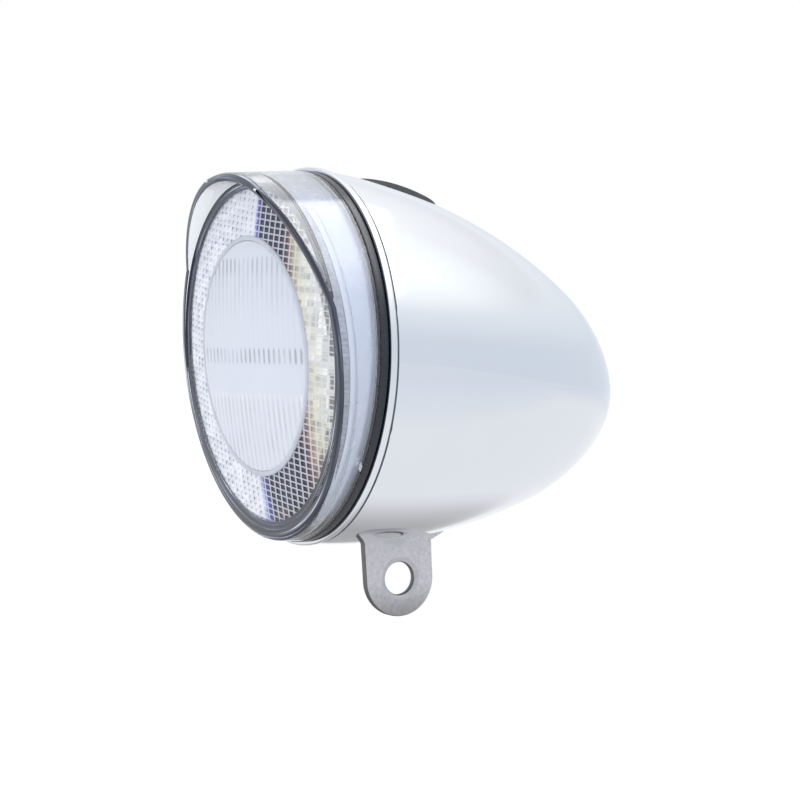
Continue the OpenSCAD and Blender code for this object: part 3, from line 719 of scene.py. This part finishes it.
def prismFinish(look, name):
    # pale away from the painted dark band; on it, the band's own painted colours with a share of the pale
    # rib
    plainDark, plainLight, onBand = look["finishes"][name]
    finish = newFinish(name)
    tree = finish.node_tree
    bands = addNode(tree, "ShaderNodeGroup", node_tree=prismBands).outputs
    chance = bands["Sparkle"]
    plain = blended(tree, chance, colour(plainDark), colour(plainLight))
    tinted = scaled(tree, bands["Colour"], mapped(tree, chance, 0, 1, *look["uneven"]))
    banded = blended(tree, onBand, tinted, colour(look["ribPale"]))
    feed(tree, shaderOf(finish), {
        "Base Color": blended(tree, bands["Dark band"], plain, banded),
        "Roughness": mapped(tree, chance, 0, 1, *look["rough"]), "Specular IOR Level": look["shine"]})
    return finish


def makeReflex(look):
    inner = look["inner"] * mm
    outer = look["outer"] * mm
    # cells start as a chequer of 1 mm squares with ribs between them
    ring = addPrimitive("reflexPrisms", bpy.ops.mesh.primitive_grid_add, x_subdivisions=look["columns"],
                        y_subdivisions=look["rows"], size=1)
    ring.scale = (look["columns"] * mm, look["rows"] * mm, 1)
    place(ring)
    dress(ring, *[prismFinish(look, name) for name in look["finishes"]])
    pickFaces(ring, lambda centre, normal: True)
    bpy.ops.mesh.inset(thickness=look["rib"] * mm, depth=0, use_individual=True)
    ring.active_material_index = 1
    bpy.ops.object.material_slot_assign()
    bpy.ops.mesh.poke(offset=-look["dip"] * mm)
    # the middle of each cell is moved to a corner, so its sides slant
    pickPoints(ring, lambda point: point.z < -0.5 * look["dip"] * mm)
    bpy.ops.transform.translate(value=Vector(look["slant"]) * mm)
    leaveEdit()

    # painted shade: one side of each cell is painted darker, as a short tick
    def shadedTickSide(centre, normal):
        step = (centre.x / mm + look["columns"] / 2) % 1
        return look["rib"] < step < look["tick"]

    def offRing(centre, normal):
        spare = look["cellWide"] * mm * look["spare"]
        return not inner - spare < centre.xy.length < outer + spare

    paintFaces(ring, 2, shadedTickSide)
    ring.scale = (look["cellWide"], look["cellHigh"], 1)
    place(ring)
    pickFaces(ring, offRing)
    bpy.ops.mesh.delete(type="FACE")
    leaveEdit()
    # wrap the flat sheet round the dome, then trim it to a ring
    for point in ring.data.vertices:
        point.co.z += domeAt(point.co.xy.length)
    useModifier(ring, "SOLIDIFY", thickness=look["thick"] * mm, offset=-1)
    half = look["cutHalf"] * mm
    cutter = turnProfile("ringCutter", [(inner, -half), (outer, -half), (outer, half), (inner, half)],
                         look["cutSteps"], closed=True)
    cutWith(ring, cutter, "INTERSECT", "EXACT")
    place(ring, faceMid, faceForwards)

    # toothed edge that shows through the lens's wall
    low, high = [r * mm for r in look["toothR"]]
    start, end = [along * mm for along in look["toothSpan"]]
    outline = roundedRing(outer - look["toothRoot"] * mm, high, start, end, look["toothRound"] * mm)
    edge = turnProfile("toothedEdge", outline, look["teeth"] * 2, closed=True)
    pickPoints(edge, lambda point: point.xy.length > outer
               and round(atan2(point.y, point.x) / pi * look["teeth"]) % 2)
    bpy.ops.transform.resize(value=(low / high, low / high, 1), center_override=(0, 0, 0))
    leaveEdit()
    place(edge, faceMid, faceBackwards)
    dress(edge, grainFinish("frostedEdge", frostedLook))
    joinInto(ring, [edge])
    finishPiece(ring, "front_unit", "reflex_plastic", "reflex_ring")


makeReflex(reflexLook)


# divider ring between the cells and the beam lens

dividerLook = {
    "inner": 22.2, "outer": 23.2, "proud": 0.3, "back": 2.0, "round": 0.3, "steps": 160, "shadeFrom": 40,
    "dark": (0.40, 0.43, 0.50), "light": (0.55, 0.58, 0.65), "smooth": 0.25, "dull": 0.35, "scale": 150,
    "shine": 0.3}


def makeDivider(look):
    front = -domeAt((look["inner"] + look["outer"]) / 2 * mm) - look["proud"] * mm
    outline = roundedRing(look["inner"] * mm, look["outer"] * mm, front, look["back"] * mm,
                          look["round"] * mm)
    ring = turnProfile("dividerRing", outline, look["steps"], closed=True)
    place(ring, faceMid, faceBackwards)
    dress(ring, grainFinish("dividerPlastic", look))
    smoothBy(ring, look["shadeFrom"])
    finishPiece(ring, "front_unit", "divider_plastic", "divider_ring")


makeDivider(dividerLook)


# beam lens with three banks of upright flutes behind a domed front

beamLook = {
    "radius": 22.15, "back": 1.2, "fluteR": 0.95, "fluteRise": 0.26, "pitch": 1.95, "margin": 2.4,
    "upperFrom": 5.0, "dashHalf": 1.4, "lowerFrom": -7.3, "shortest": 2, "fluteSteps": 20, "fluteRound": 0.6,
    "fluteSharp": 60, "steps": 128, "domeSteps": 24, "shadeFrom": 25, "dark": (0.78, 0.825, 0.93),
    "light": (0.84, 0.88, 0.97), "smooth": 0.14, "dull": 0.24, "scale": 80, "bump": 0.03,
    "bend": 1.49, "clear": 0.3}

# painted shade and glints: the flutes' refraction is painted as soft uneven lines, dark in the dash row and
# at the top, with glints below
fluteLook = {
    "patchScale": 0.16, "patchFrom": 0.35, "patchTo": 0.65, "patchLow": 0.25, "softness": 0.2,
    "line": (0.34, 0.37, 0.45), "glint": (1.0, 1.0, 1.0),
    "lineDepth": [(-22, 0.25), (-16, 0.45), (-8.4, 0.3), (-7.9, 0), (-1.7, 0), (-1.2, 0.8), (1.0, 0.8),
                  (1.6, 0.03), (6, 0.06), (11, 0.28), (15, 0.4), (16.2, 0.75), (18.4, 0.75), (19, 0)],
    "glintDepth": [(-18, 0.2), (-9, 0.5), (-8.2, 0.9), (-7.4, 0.9), (-7.0, 0)]}


def makeFlute(look, middleX, low, high):
    # short drum with round ends, stretched to its length
    radius = look["fluteR"] * mm
    flute = addPrimitive("flute", bpy.ops.mesh.primitive_cylinder_add, vertices=look["fluteSteps"],
                         radius=radius, depth=2 * radius)
    useModifier(flute, "BEVEL", width=look["fluteRound"] * radius, segments=2, limit_method="ANGLE",
                angle_limit=radians(look["fluteSharp"]))
    stretchHalves(flute, 2, max(high - low - 2 * radius, 0) / 2)
    depth = look["back"] * mm + look["fluteRise"] * mm - radius
    place(flute, (middleX, (low + high) / 2, -depth), (pi / 2, 0, 0))
    return flute


def paintedFluteLines(look, finish, pitch, half):
    tree = finish.node_tree
    inMm = scaled(tree, vectors(tree, "SUBTRACT", objectSpot(tree), faceMid), 1 / mm)
    axes = splitAxes(tree, inMm)
    wave = reckon(tree, "COSINE", reckon(tree, "MULTIPLY", axes["X"], 2 * pi / pitch))
    height = mapped(tree, axes["Z"], -half, half)
    patches = mapped(tree, noise(tree, inMm, look["patchScale"]), look["patchFrom"], look["patchTo"],
                     look["patchLow"])
    base = shaderOf(finish).inputs["Base Color"]
    drawn = base.links[0].from_socket
    # the dark lines are painted shade and the glints painted highlights
    for tone, crest in [("line", -1.0), ("glint", 1.0)]:
        line = mapped(tree, wave, -look["softness"] * crest, crest, interpolation_type="SMOOTHSTEP")
        stops = [((z + half) / (2 * half), (depth, depth, depth)) for z, depth in look[tone + "Depth"]]
        share = reckon(tree, "MULTIPLY", line, ramped(tree, height, stops))
        drawn = blended(tree, reckon(tree, "MULTIPLY", share, patches), drawn, colour(look[tone]))
    tree.links.new(drawn, base)


def makeBeamLens(look):
    radius = look["radius"] * mm
    back = look["back"] * mm
    rings = [radius * i / look["domeSteps"] for i in range(look["domeSteps"] + 1)]
    disc = turnProfile("beamLens", [(r, -domeAt(r)) for r in rings] + [(radius, back), (0, back)],
                       look["steps"])
    place(disc, turn=(pi, 0, 0))
    flutes = []
    upper = look["upperFrom"] * mm
    lower = look["lowerFrom"] * mm
    dash = look["dashHalf"] * mm
    shortest = look["shortest"] * mm
    reach = int((look["radius"] - look["margin"]) / look["pitch"])
    for i in range(-reach, reach + 1):
        x = i * look["pitch"] * mm
        half = sqrt((radius - look["margin"] * mm) ** 2 - x ** 2)
        if half > upper + shortest:
            flutes.append(makeFlute(look, x, upper, half))
        flutes.append(makeFlute(look, x, -dash, dash))
        if half > -lower + shortest:
            flutes.append(makeFlute(look, x, -half, lower))
    joinInto(flutes[0], flutes[1:])
    cutWith(disc, flutes[0], "UNION", "EXACT")
    place(disc, faceMid, (faceTilt + pi / 2, 0, 0))
    finish = clearFinish("flutedPlastic", look)
    paintedFluteLines(fluteLook, finish, look["pitch"], look["radius"])
    dress(disc, finish)
    smoothBy(disc, look["shadeFrom"])
    finishPiece(disc, "front_unit", "beam_plastic", "beam_lens")


makeBeamLens(beamLook)


# steel lug

lugLook = {
    "hole": 3.27, "holeHalf": 0.45, "flare": [(3.36, 0.68), (3.6, 0.86), (3.95, 0.97), (4.4, 1.06)],
    "steps": 96, "edgeRound": 0.4, "foldAt": 6.0, "outlineTo": 3.0, "bossR": 5, "merge": 0.06, "flat": 3,
    "leafFrom": (0, 7.6, 7.95), "leafSlope": 27, "leafBlock": (30, 8, 8), "leafShift": (0, 4, 1),
    "shadeFrom": 50, "outlineFacing": (0.3, 0.9), "holeFacing": 0.72, "flareFacing": 0.99, "rimFacing": 0.8,
    "rimAhead": -0.35, "rimBelow": -0.5, "leafBelow": -0.3}

satinLook = {
    "dark": (0.40, 0.39, 0.41), "light": (0.77, 0.755, 0.78), "smooth": 0.30, "dull": 0.5, "scale": 1300,
    "bump": 0.5, "bumpDepth": 0.06, "metal": 1, "fadeFrom": -7.5, "fadeTo": -1.0, "fadeLow": 0.5}
shadedLook = {
    "dark": (0.13, 0.13, 0.14), "light": (0.21, 0.21, 0.22), "smooth": 0.35, "dull": 0.55, "scale": 700,
    "metal": 1}
flareShadeLook = {
    "dark": (0.37, 0.37, 0.385), "light": (0.60, 0.60, 0.62), "smooth": 0.35, "dull": 0.5, "scale": 1300,
    "metal": 1}

shadedSteel = grainFinish("shadedSteel", shadedLook)


def paintedShadeDown(look, finish):
    # painted shade: the steel is painted darker towards the lug's lower end
    tree = finish.node_tree
    base = shaderOf(finish).inputs["Base Color"]
    height = splitAxes(tree, objectSpot(tree))["Z"]
    share = mapped(tree, height, look["fadeFrom"] * mm, look["fadeTo"] * mm, look["fadeLow"])
    tree.links.new(scaled(tree, base.links[0].from_socket, share), base)


def makeLug(look):
    lug = copyOfNode("lug_bracket", "lugBracket")
    pickAll(lug)
    bpy.ops.mesh.remove_doubles(threshold=look["merge"] * mm)
    bpy.ops.mesh.dissolve_limited(angle_limit=radians(look["flat"]))

    def fromBolt(point):
        return sqrt(point.y ** 2 + point.z ** 2)

    def plateOutline(ends, normals):
        facing = sorted(abs(normal.x) for normal in normals)
        return (len(facing) == 2 and facing[0] < look["outlineFacing"][0]
                and facing[1] > look["outlineFacing"][1]
                and min(point.z for point in ends) < look["outlineTo"] * mm
                and min(fromBolt(point) for point in ends) > look["bossR"] * mm)

    pickEdges(lug, plateOutline)
    bpy.ops.mesh.bevel(offset=look["edgeRound"] * mm, segments=4, affect="EDGES", clamp_overlap=False)
    leaveEdit()
    # the bolt hole is cut again, round and with softly flared ends
    half = [(look["hole"], look["holeHalf"])] + look["flare"]
    half.append((0, half[-1][1]))
    outline = [(r * mm, -along * mm) for r, along in reversed(half)]
    outline += [(r * mm, along * mm) for r, along in half]
    spool = turnProfile("holeSpool", outline, look["steps"])
    place(spool, turn=(0, pi / 2, 0))
    cutWith(lug, spool)
    # the foot thins to a leaf behind the plate
    leaf = Vector(look["leafFrom"]) * mm
    slope = radians(look["leafSlope"])
    wedge = addPrimitive("leafWedge", bpy.ops.mesh.primitive_cube_add, size=1)
    wedge.scale = Vector(look["leafBlock"]) * mm
    place(wedge, leaf + Vector(look["leafShift"]) * mm)
    sliceAt(wedge, leaf, (0, -sin(slope), cos(slope)), use_fill=True, clear_outer=True)
    cutWith(lug, wedge)
    satinSteel = grainFinish("satinSteel", satinLook)
    paintedShadeDown(satinLook, satinSteel)
    dress(lug, satinSteel, shadedSteel, grainFinish("flareShadeSteel", flareShadeLook))

    # painted shade: the bolt hole's wall, the plate's front and lower rim and the leaf's underside take the
    # shaded steel
    def shaded(centre, normal):
        aside = abs(normal.x)
        inHole = aside < look["holeFacing"] and fromBolt(centre) < look["flare"][1][0] * mm
        onRim = (centre.z < look["foldAt"] * mm and aside < look["rimFacing"]
                 and (normal.y < look["rimAhead"] or normal.z < look["rimBelow"]))
        return inHole or onRim or (centre.y > leaf.y and normal.z < look["leafBelow"])

    # painted shade: the flared ring round the bolt hole takes a darker steel
    def flared(centre, normal):
        return (look["holeFacing"] <= abs(normal.x) < look["flareFacing"]
                and fromBolt(centre) < look["bossR"] * mm)

    paintFaces(lug, 1, shaded)
    paintFaces(lug, 2, flared)
    smoothFlats(lug, look["shadeFrom"])
    finishPiece(lug, "housing", "stainless", "lug_bracket")


makeLug(lugLook)


# rivets and button, with soft edges

softLook = {"segments": 3, "sharpFrom": 40, "shadeFrom": 35, "rivetRound": 0.25, "buttonRound": 0.15}
buttonLook = {
    "dark": (0.035, 0.036, 0.04), "light": (0.06, 0.06, 0.066), "smooth": 0.42,
    "dull": 0.55, "scale": 1500, "bump": 0.3}


def softEdged(look, node, name, body, slot, edge, finish):
    piece = copyOfNode(node, name)
    useModifier(piece, "BEVEL", width=look[edge] * mm, segments=look["segments"], limit_method="ANGLE",
                angle_limit=radians(look["sharpFrom"]))
    dress(piece, finish)
    smoothBy(piece, look["shadeFrom"])
    finishPiece(piece, body, slot, node)


# the rivets take the shaded steel, a painted shade
for end in ("front", "rear"):
    softEdged(softLook, "rivet_" + end, "rivet" + end.capitalize(), "housing", "stainless", "rivetRound",
              shadedSteel)
softEdged(softLook, "button", "pushButton", "button", "button_rubber", "buttonRound",
          grainFinish("buttonRubber", buttonLook))


# frame nodes that keep their shape and get a finish

nodeLooks = {
    "satinBacking": {"nodes": ["backing_plate"], "dark": (0.42, 0.42, 0.44), "light": (0.55, 0.55, 0.57),
                     "smooth": 0.3, "dull": 0.5, "scale": 400, "metal": 1},
    "springSteel": {"nodes": ["return_spring"], "dark": (0.5, 0.5, 0.52), "light": (0.66, 0.66, 0.68),
                    "smooth": 0.2, "dull": 0.35, "scale": 700, "metal": 1},
    "greyPlastic": {"nodes": ["button_guide"], "dark": (0.20, 0.205, 0.21), "light": (0.27, 0.275, 0.28),
                    "smooth": 0.4, "dull": 0.6, "scale": 900, "bump": 0.2},
    "palePlastic": {"nodes": ["bulkhead"], "dark": (0.58, 0.61, 0.68), "light": (0.70, 0.73, 0.79),
                    "smooth": 0.3, "dull": 0.45, "scale": 900, "bump": 0.2},
    "mirrorBowl": {"nodes": ["reflector"], "dark": (0.92, 0.94, 0.99), "light": (0.95, 0.965, 1.0),
                   "smooth": 0.30, "dull": 0.40, "scale": 120, "metal": 1},
    "brightBand": {"nodes": ["carrier"], "dark": (0.84, 0.88, 0.97), "light": (0.92, 0.95, 1.0),
                   "smooth": 0.2, "dull": 0.3, "scale": 120, "metal": 0.35},
    "milkyClip": {"nodes": ["snap_upper_right", "snap_upper_left", "snap_lower_left", "snap_lower_right"],
                  "dark": (0.70, 0.72, 0.76), "light": (0.80, 0.82, 0.85), "smooth": 0.2, "dull": 0.35,
                  "scale": 300},
    "ledPhosphor": {"nodes": ["led"], "dark": (0.72, 0.58, 0.12), "light": (0.82, 0.70, 0.22),
                    "smooth": 0.25, "dull": 0.4, "scale": 900, "coat": 0.6},
    "whiteMask": {"nodes": ["led_board"], "dark": (0.74, 0.75, 0.76), "light": (0.82, 0.83, 0.84),
                  "smooth": 0.3, "dull": 0.45, "scale": 500},
    "sinkAlloy": {"nodes": ["heat_sink"], "dark": (0.55, 0.56, 0.58), "light": (0.68, 0.69, 0.70),
                  "smooth": 0.3, "dull": 0.5, "scale": 600, "metal": 1},
    "screwSteel": {"nodes": ["screw_right", "screw_left", "screw_low"], "dark": (0.46, 0.46, 0.48),
                   "light": (0.60, 0.60, 0.62), "smooth": 0.25, "dull": 0.4, "scale": 900, "metal": 1},
    "greenBoard": {"nodes": ["control_board"], "dark": (0.02, 0.11, 0.05), "light": (0.04, 0.18, 0.08),
                   "smooth": 0.25, "dull": 0.4, "scale": 600, "coat": 0.4},
    "blackResin": {"nodes": ["switch_body", "switch_stem", "driver_chip"], "dark": (0.02, 0.02, 0.022),
                   "light": (0.045, 0.045, 0.05), "smooth": 0.4, "dull": 0.6, "scale": 1200, "bump": 0.25},
    "canMetal": {"nodes": ["capacitor"], "dark": (0.45, 0.46, 0.48), "light": (0.60, 0.61, 0.63),
                 "smooth": 0.25, "dull": 0.4, "scale": 700, "metal": 1},
    "holderPlastic": {"nodes": ["holder_front", "holder_rear", "holder_spine"],
                      "dark": (0.025, 0.025, 0.028), "light": (0.05, 0.05, 0.055), "smooth": 0.4,
                      "dull": 0.6, "scale": 900, "bump": 0.25},
    "cellWrap": {"nodes": ["cell_top", "cell_left", "cell_right"], "dark": (0.30, 0.03, 0.03),
                 "light": (0.42, 0.06, 0.05), "smooth": 0.2, "dull": 0.34, "scale": 300, "coat": 0.4},
    "contactMetal": {"nodes": ["plate_front", "plate_rear", "contact_top", "contact_left", "contact_right"],
                     "dark": (0.62, 0.50, 0.26), "light": (0.76, 0.64, 0.36), "smooth": 0.2, "dull": 0.35,
                     "scale": 700, "metal": 1}}

for name, look in nodeLooks.items():
    finish = grainFinish(name, look)
    for node in look["nodes"]:
        for slot in nodes[node].material_slots:
            slot.material = finish
print("frame nodes dressed:", sum(len(look["nodes"]) for look in nodeLooks.values()))


# floor, studio light and camera

floorLook = {
    "drop": 80, "size": 8, "paint": (0.93, 0.93, 0.93), "rough": 0.9, "share": 0.9,
    "sideFade": [(0.16, (1.0, 0.995, 1.0)), (0.24, (0.92, 0.945, 0.975)), (0.6, (0.855, 0.89, 0.95))],
    "farFade": [(0.18, white), (0.45, (0.855, 0.89, 0.95))],
    "shade": [(0.10, (0.43, 0.42, 0.415)), (0.12, (0.52, 0.505, 0.50)), (0.142, (0.68, 0.66, 0.65)),
              (0.163, (0.91, 0.89, 0.89)), (0.18, white)],
    "shadeSpot": (-0.15, 0, 0)}


def makeFloor(look):
    floor = addPrimitive("studioFloor", bpy.ops.mesh.primitive_plane_add, size=look["size"],
                         location=(0, 0, cadBox[0][2] - look["drop"] * mm))
    finish = newFinish("paleFloor")
    tree = finish.node_tree
    shader = shaderOf(finish)
    feed(tree, shader, {"Base Color": colour(look["paint"]), "Roughness": look["rough"]})
    # painted shadow: metal mirrors a floor painted dim in the lamp's shade and cooler towards the walls
    spot = objectSpot(tree)
    far = reckon(tree, "DIVIDE", vectors(tree, "LENGTH", spot), look["size"] / 2)
    fade = blended(tree, 1, ramped(tree, splitAxes(tree, spot)["X"], look["sideFade"]),
                   ramped(tree, far, look["farFade"]), blend_type="DARKEN")
    shade = ramped(tree, vectors(tree, "DISTANCE", spot, look["shadeSpot"]), look["shade"])
    mirrored = blended(tree, 1, fade, shade, blend_type="MULTIPLY")
    # seen directly or through the lens, it is plain white
    path = addNode(tree, "ShaderNodeLightPath").outputs
    direct = reckon(tree, "MAXIMUM", path["Is Camera Ray"], path["Is Transmission Ray"])
    paper = addNode(tree, "ShaderNodeEmission", {"Color": blended(tree, direct, mirrored, colour(white))})
    seen = reckon(tree, "MAXIMUM", direct, path["Is Glossy Ray"])
    showBoth(tree, reckon(tree, "MULTIPLY", seen, look["share"]), shader.outputs["BSDF"],
             paper.outputs["Emission"], "Material Output")
    dress(floor, finish)


def grey(value):
    return (value, value, value)


worldLook = {
    "walls": [(0.0, white), (0.40, (0.92, 0.95, 0.98)), (0.46, (0.84, 0.89, 0.94)),
              (0.60, (0.85, 0.90, 0.95)), (0.70, (1.02, 1.04, 1.06))],
    "sideTop": [(0.75, grey(1.22)), (0.80, grey(1.36)), (0.84, grey(1.45))],
    "backTop": [(0.735, (1.0, 1.0, 1.01)), (0.77, grey(1.05)), (0.80, (1.12, 1.11, 1.10)),
                (0.87, (1.23, 1.22, 1.20)), (0.90, (1.32, 1.31, 1.29))],
    "sideFrom": -0.1, "sideTo": 0.35,
    "softbox": [("X", -0.34, -0.26), ("X", 0.75, 0.45), ("Y", 0.60, 0.50), ("Y", -0.5, -0.3),
                ("Z", 0.5, 0.62)],
    "softboxPower": 4}


def makeWorld(look):
    # white behind the lamp; what metal mirrors has a cool band at eye level and a bright top at the side
    world = bpy.data.worlds.new("studio")
    bpy.context.scene.world = world
    world.use_nodes = True
    tree = world.node_tree
    axes = splitAxes(tree, addNode(tree, "ShaderNodeTexCoord").outputs["Generated"])
    height = mapped(tree, axes["Z"], -1, 1)
    side = mapped(tree, axes["X"], look["sideFrom"], look["sideTo"])
    walls = blended(tree, side, ramped(tree, height, look["walls"] + look["backTop"]),
                    ramped(tree, height, look["walls"] + look["sideTop"]))
    path = addNode(tree, "ShaderNodeLightPath").outputs
    # a softbox overhead that only shows in what is glossy
    glow = path["Is Glossy Ray"]
    for axis, start, end in look["softbox"]:
        glow = reckon(tree, "MULTIPLY", glow, mapped(tree, axes[axis], start, end))
    lit = vectors(tree, "MULTIPLY_ADD", glow, grey(look["softboxPower"]), walls)
    around = tree.nodes["Background"]
    feed(tree, around, {"Color": lit})
    behind = addNode(tree, "ShaderNodeBackground", {"Color": colour(white)})
    seen = reckon(tree, "MAXIMUM", path["Is Camera Ray"], path["Is Transmission Ray"])
    showBoth(tree, seen, around.outputs["Background"], behind.outputs["Background"], "World Output")


lampLook = {"size": 0.5, "power": 1.0, "spot": (0.45, -0.25, 0.65)}


def makeLamp(look):
    bpy.ops.object.light_add(type="AREA", location=look["spot"])
    lamp = bpy.context.object
    lamp.name = "softbox"
    lamp.data.size = look["size"]
    lamp.data.energy = look["power"]
    lamp.rotation_euler = (mouth - Vector(look["spot"])).to_track_quat("-Z", "Y").to_euler()
    lamp.visible_glossy = False
    lamp.visible_transmission = False


cameraLook = {
    "azimuth": 60.35, "elevation": 1.03, "roll": -0.96, "distance": 440.7, "right": 19.6, "up": -8.47,
    "focalPixels": 2267, "framePixels": 800, "sensor": 36, "clipStart": 0.01}


def makeCamera(look):
    around = radians(look["azimuth"])
    rise = radians(look["elevation"])
    roll = radians(look["roll"])
    back = Vector((sin(around) * cos(rise), -cos(around) * cos(rise), sin(rise)))
    level = Vector((cos(around), sin(around), 0))
    above = back.cross(level)
    right = level * cos(roll) - above * sin(roll)
    up = level * sin(roll) + above * cos(roll)
    spot = mouth + (back * look["distance"] + right * look["right"] + up * look["up"]) * mm
    bpy.ops.object.camera_add(location=spot)
    camera = bpy.context.object
    camera.name = "photoCamera"
    camera.matrix_world = Matrix.Translation(spot) @ Matrix((right, up, back)).transposed().to_4x4()
    camera.data.sensor_width = look["sensor"]
    camera.data.lens = look["focalPixels"] * look["sensor"] / look["framePixels"]
    camera.data.clip_start = look["clipStart"]
    bpy.context.scene.camera = camera


makeFloor(floorLook)
makeWorld(worldLook)
makeLamp(lampLook)
makeCamera(cameraLook)
bpy.context.scene.view_settings.view_transform = "Standard"
print("stage: floor, world, lamp and camera set")
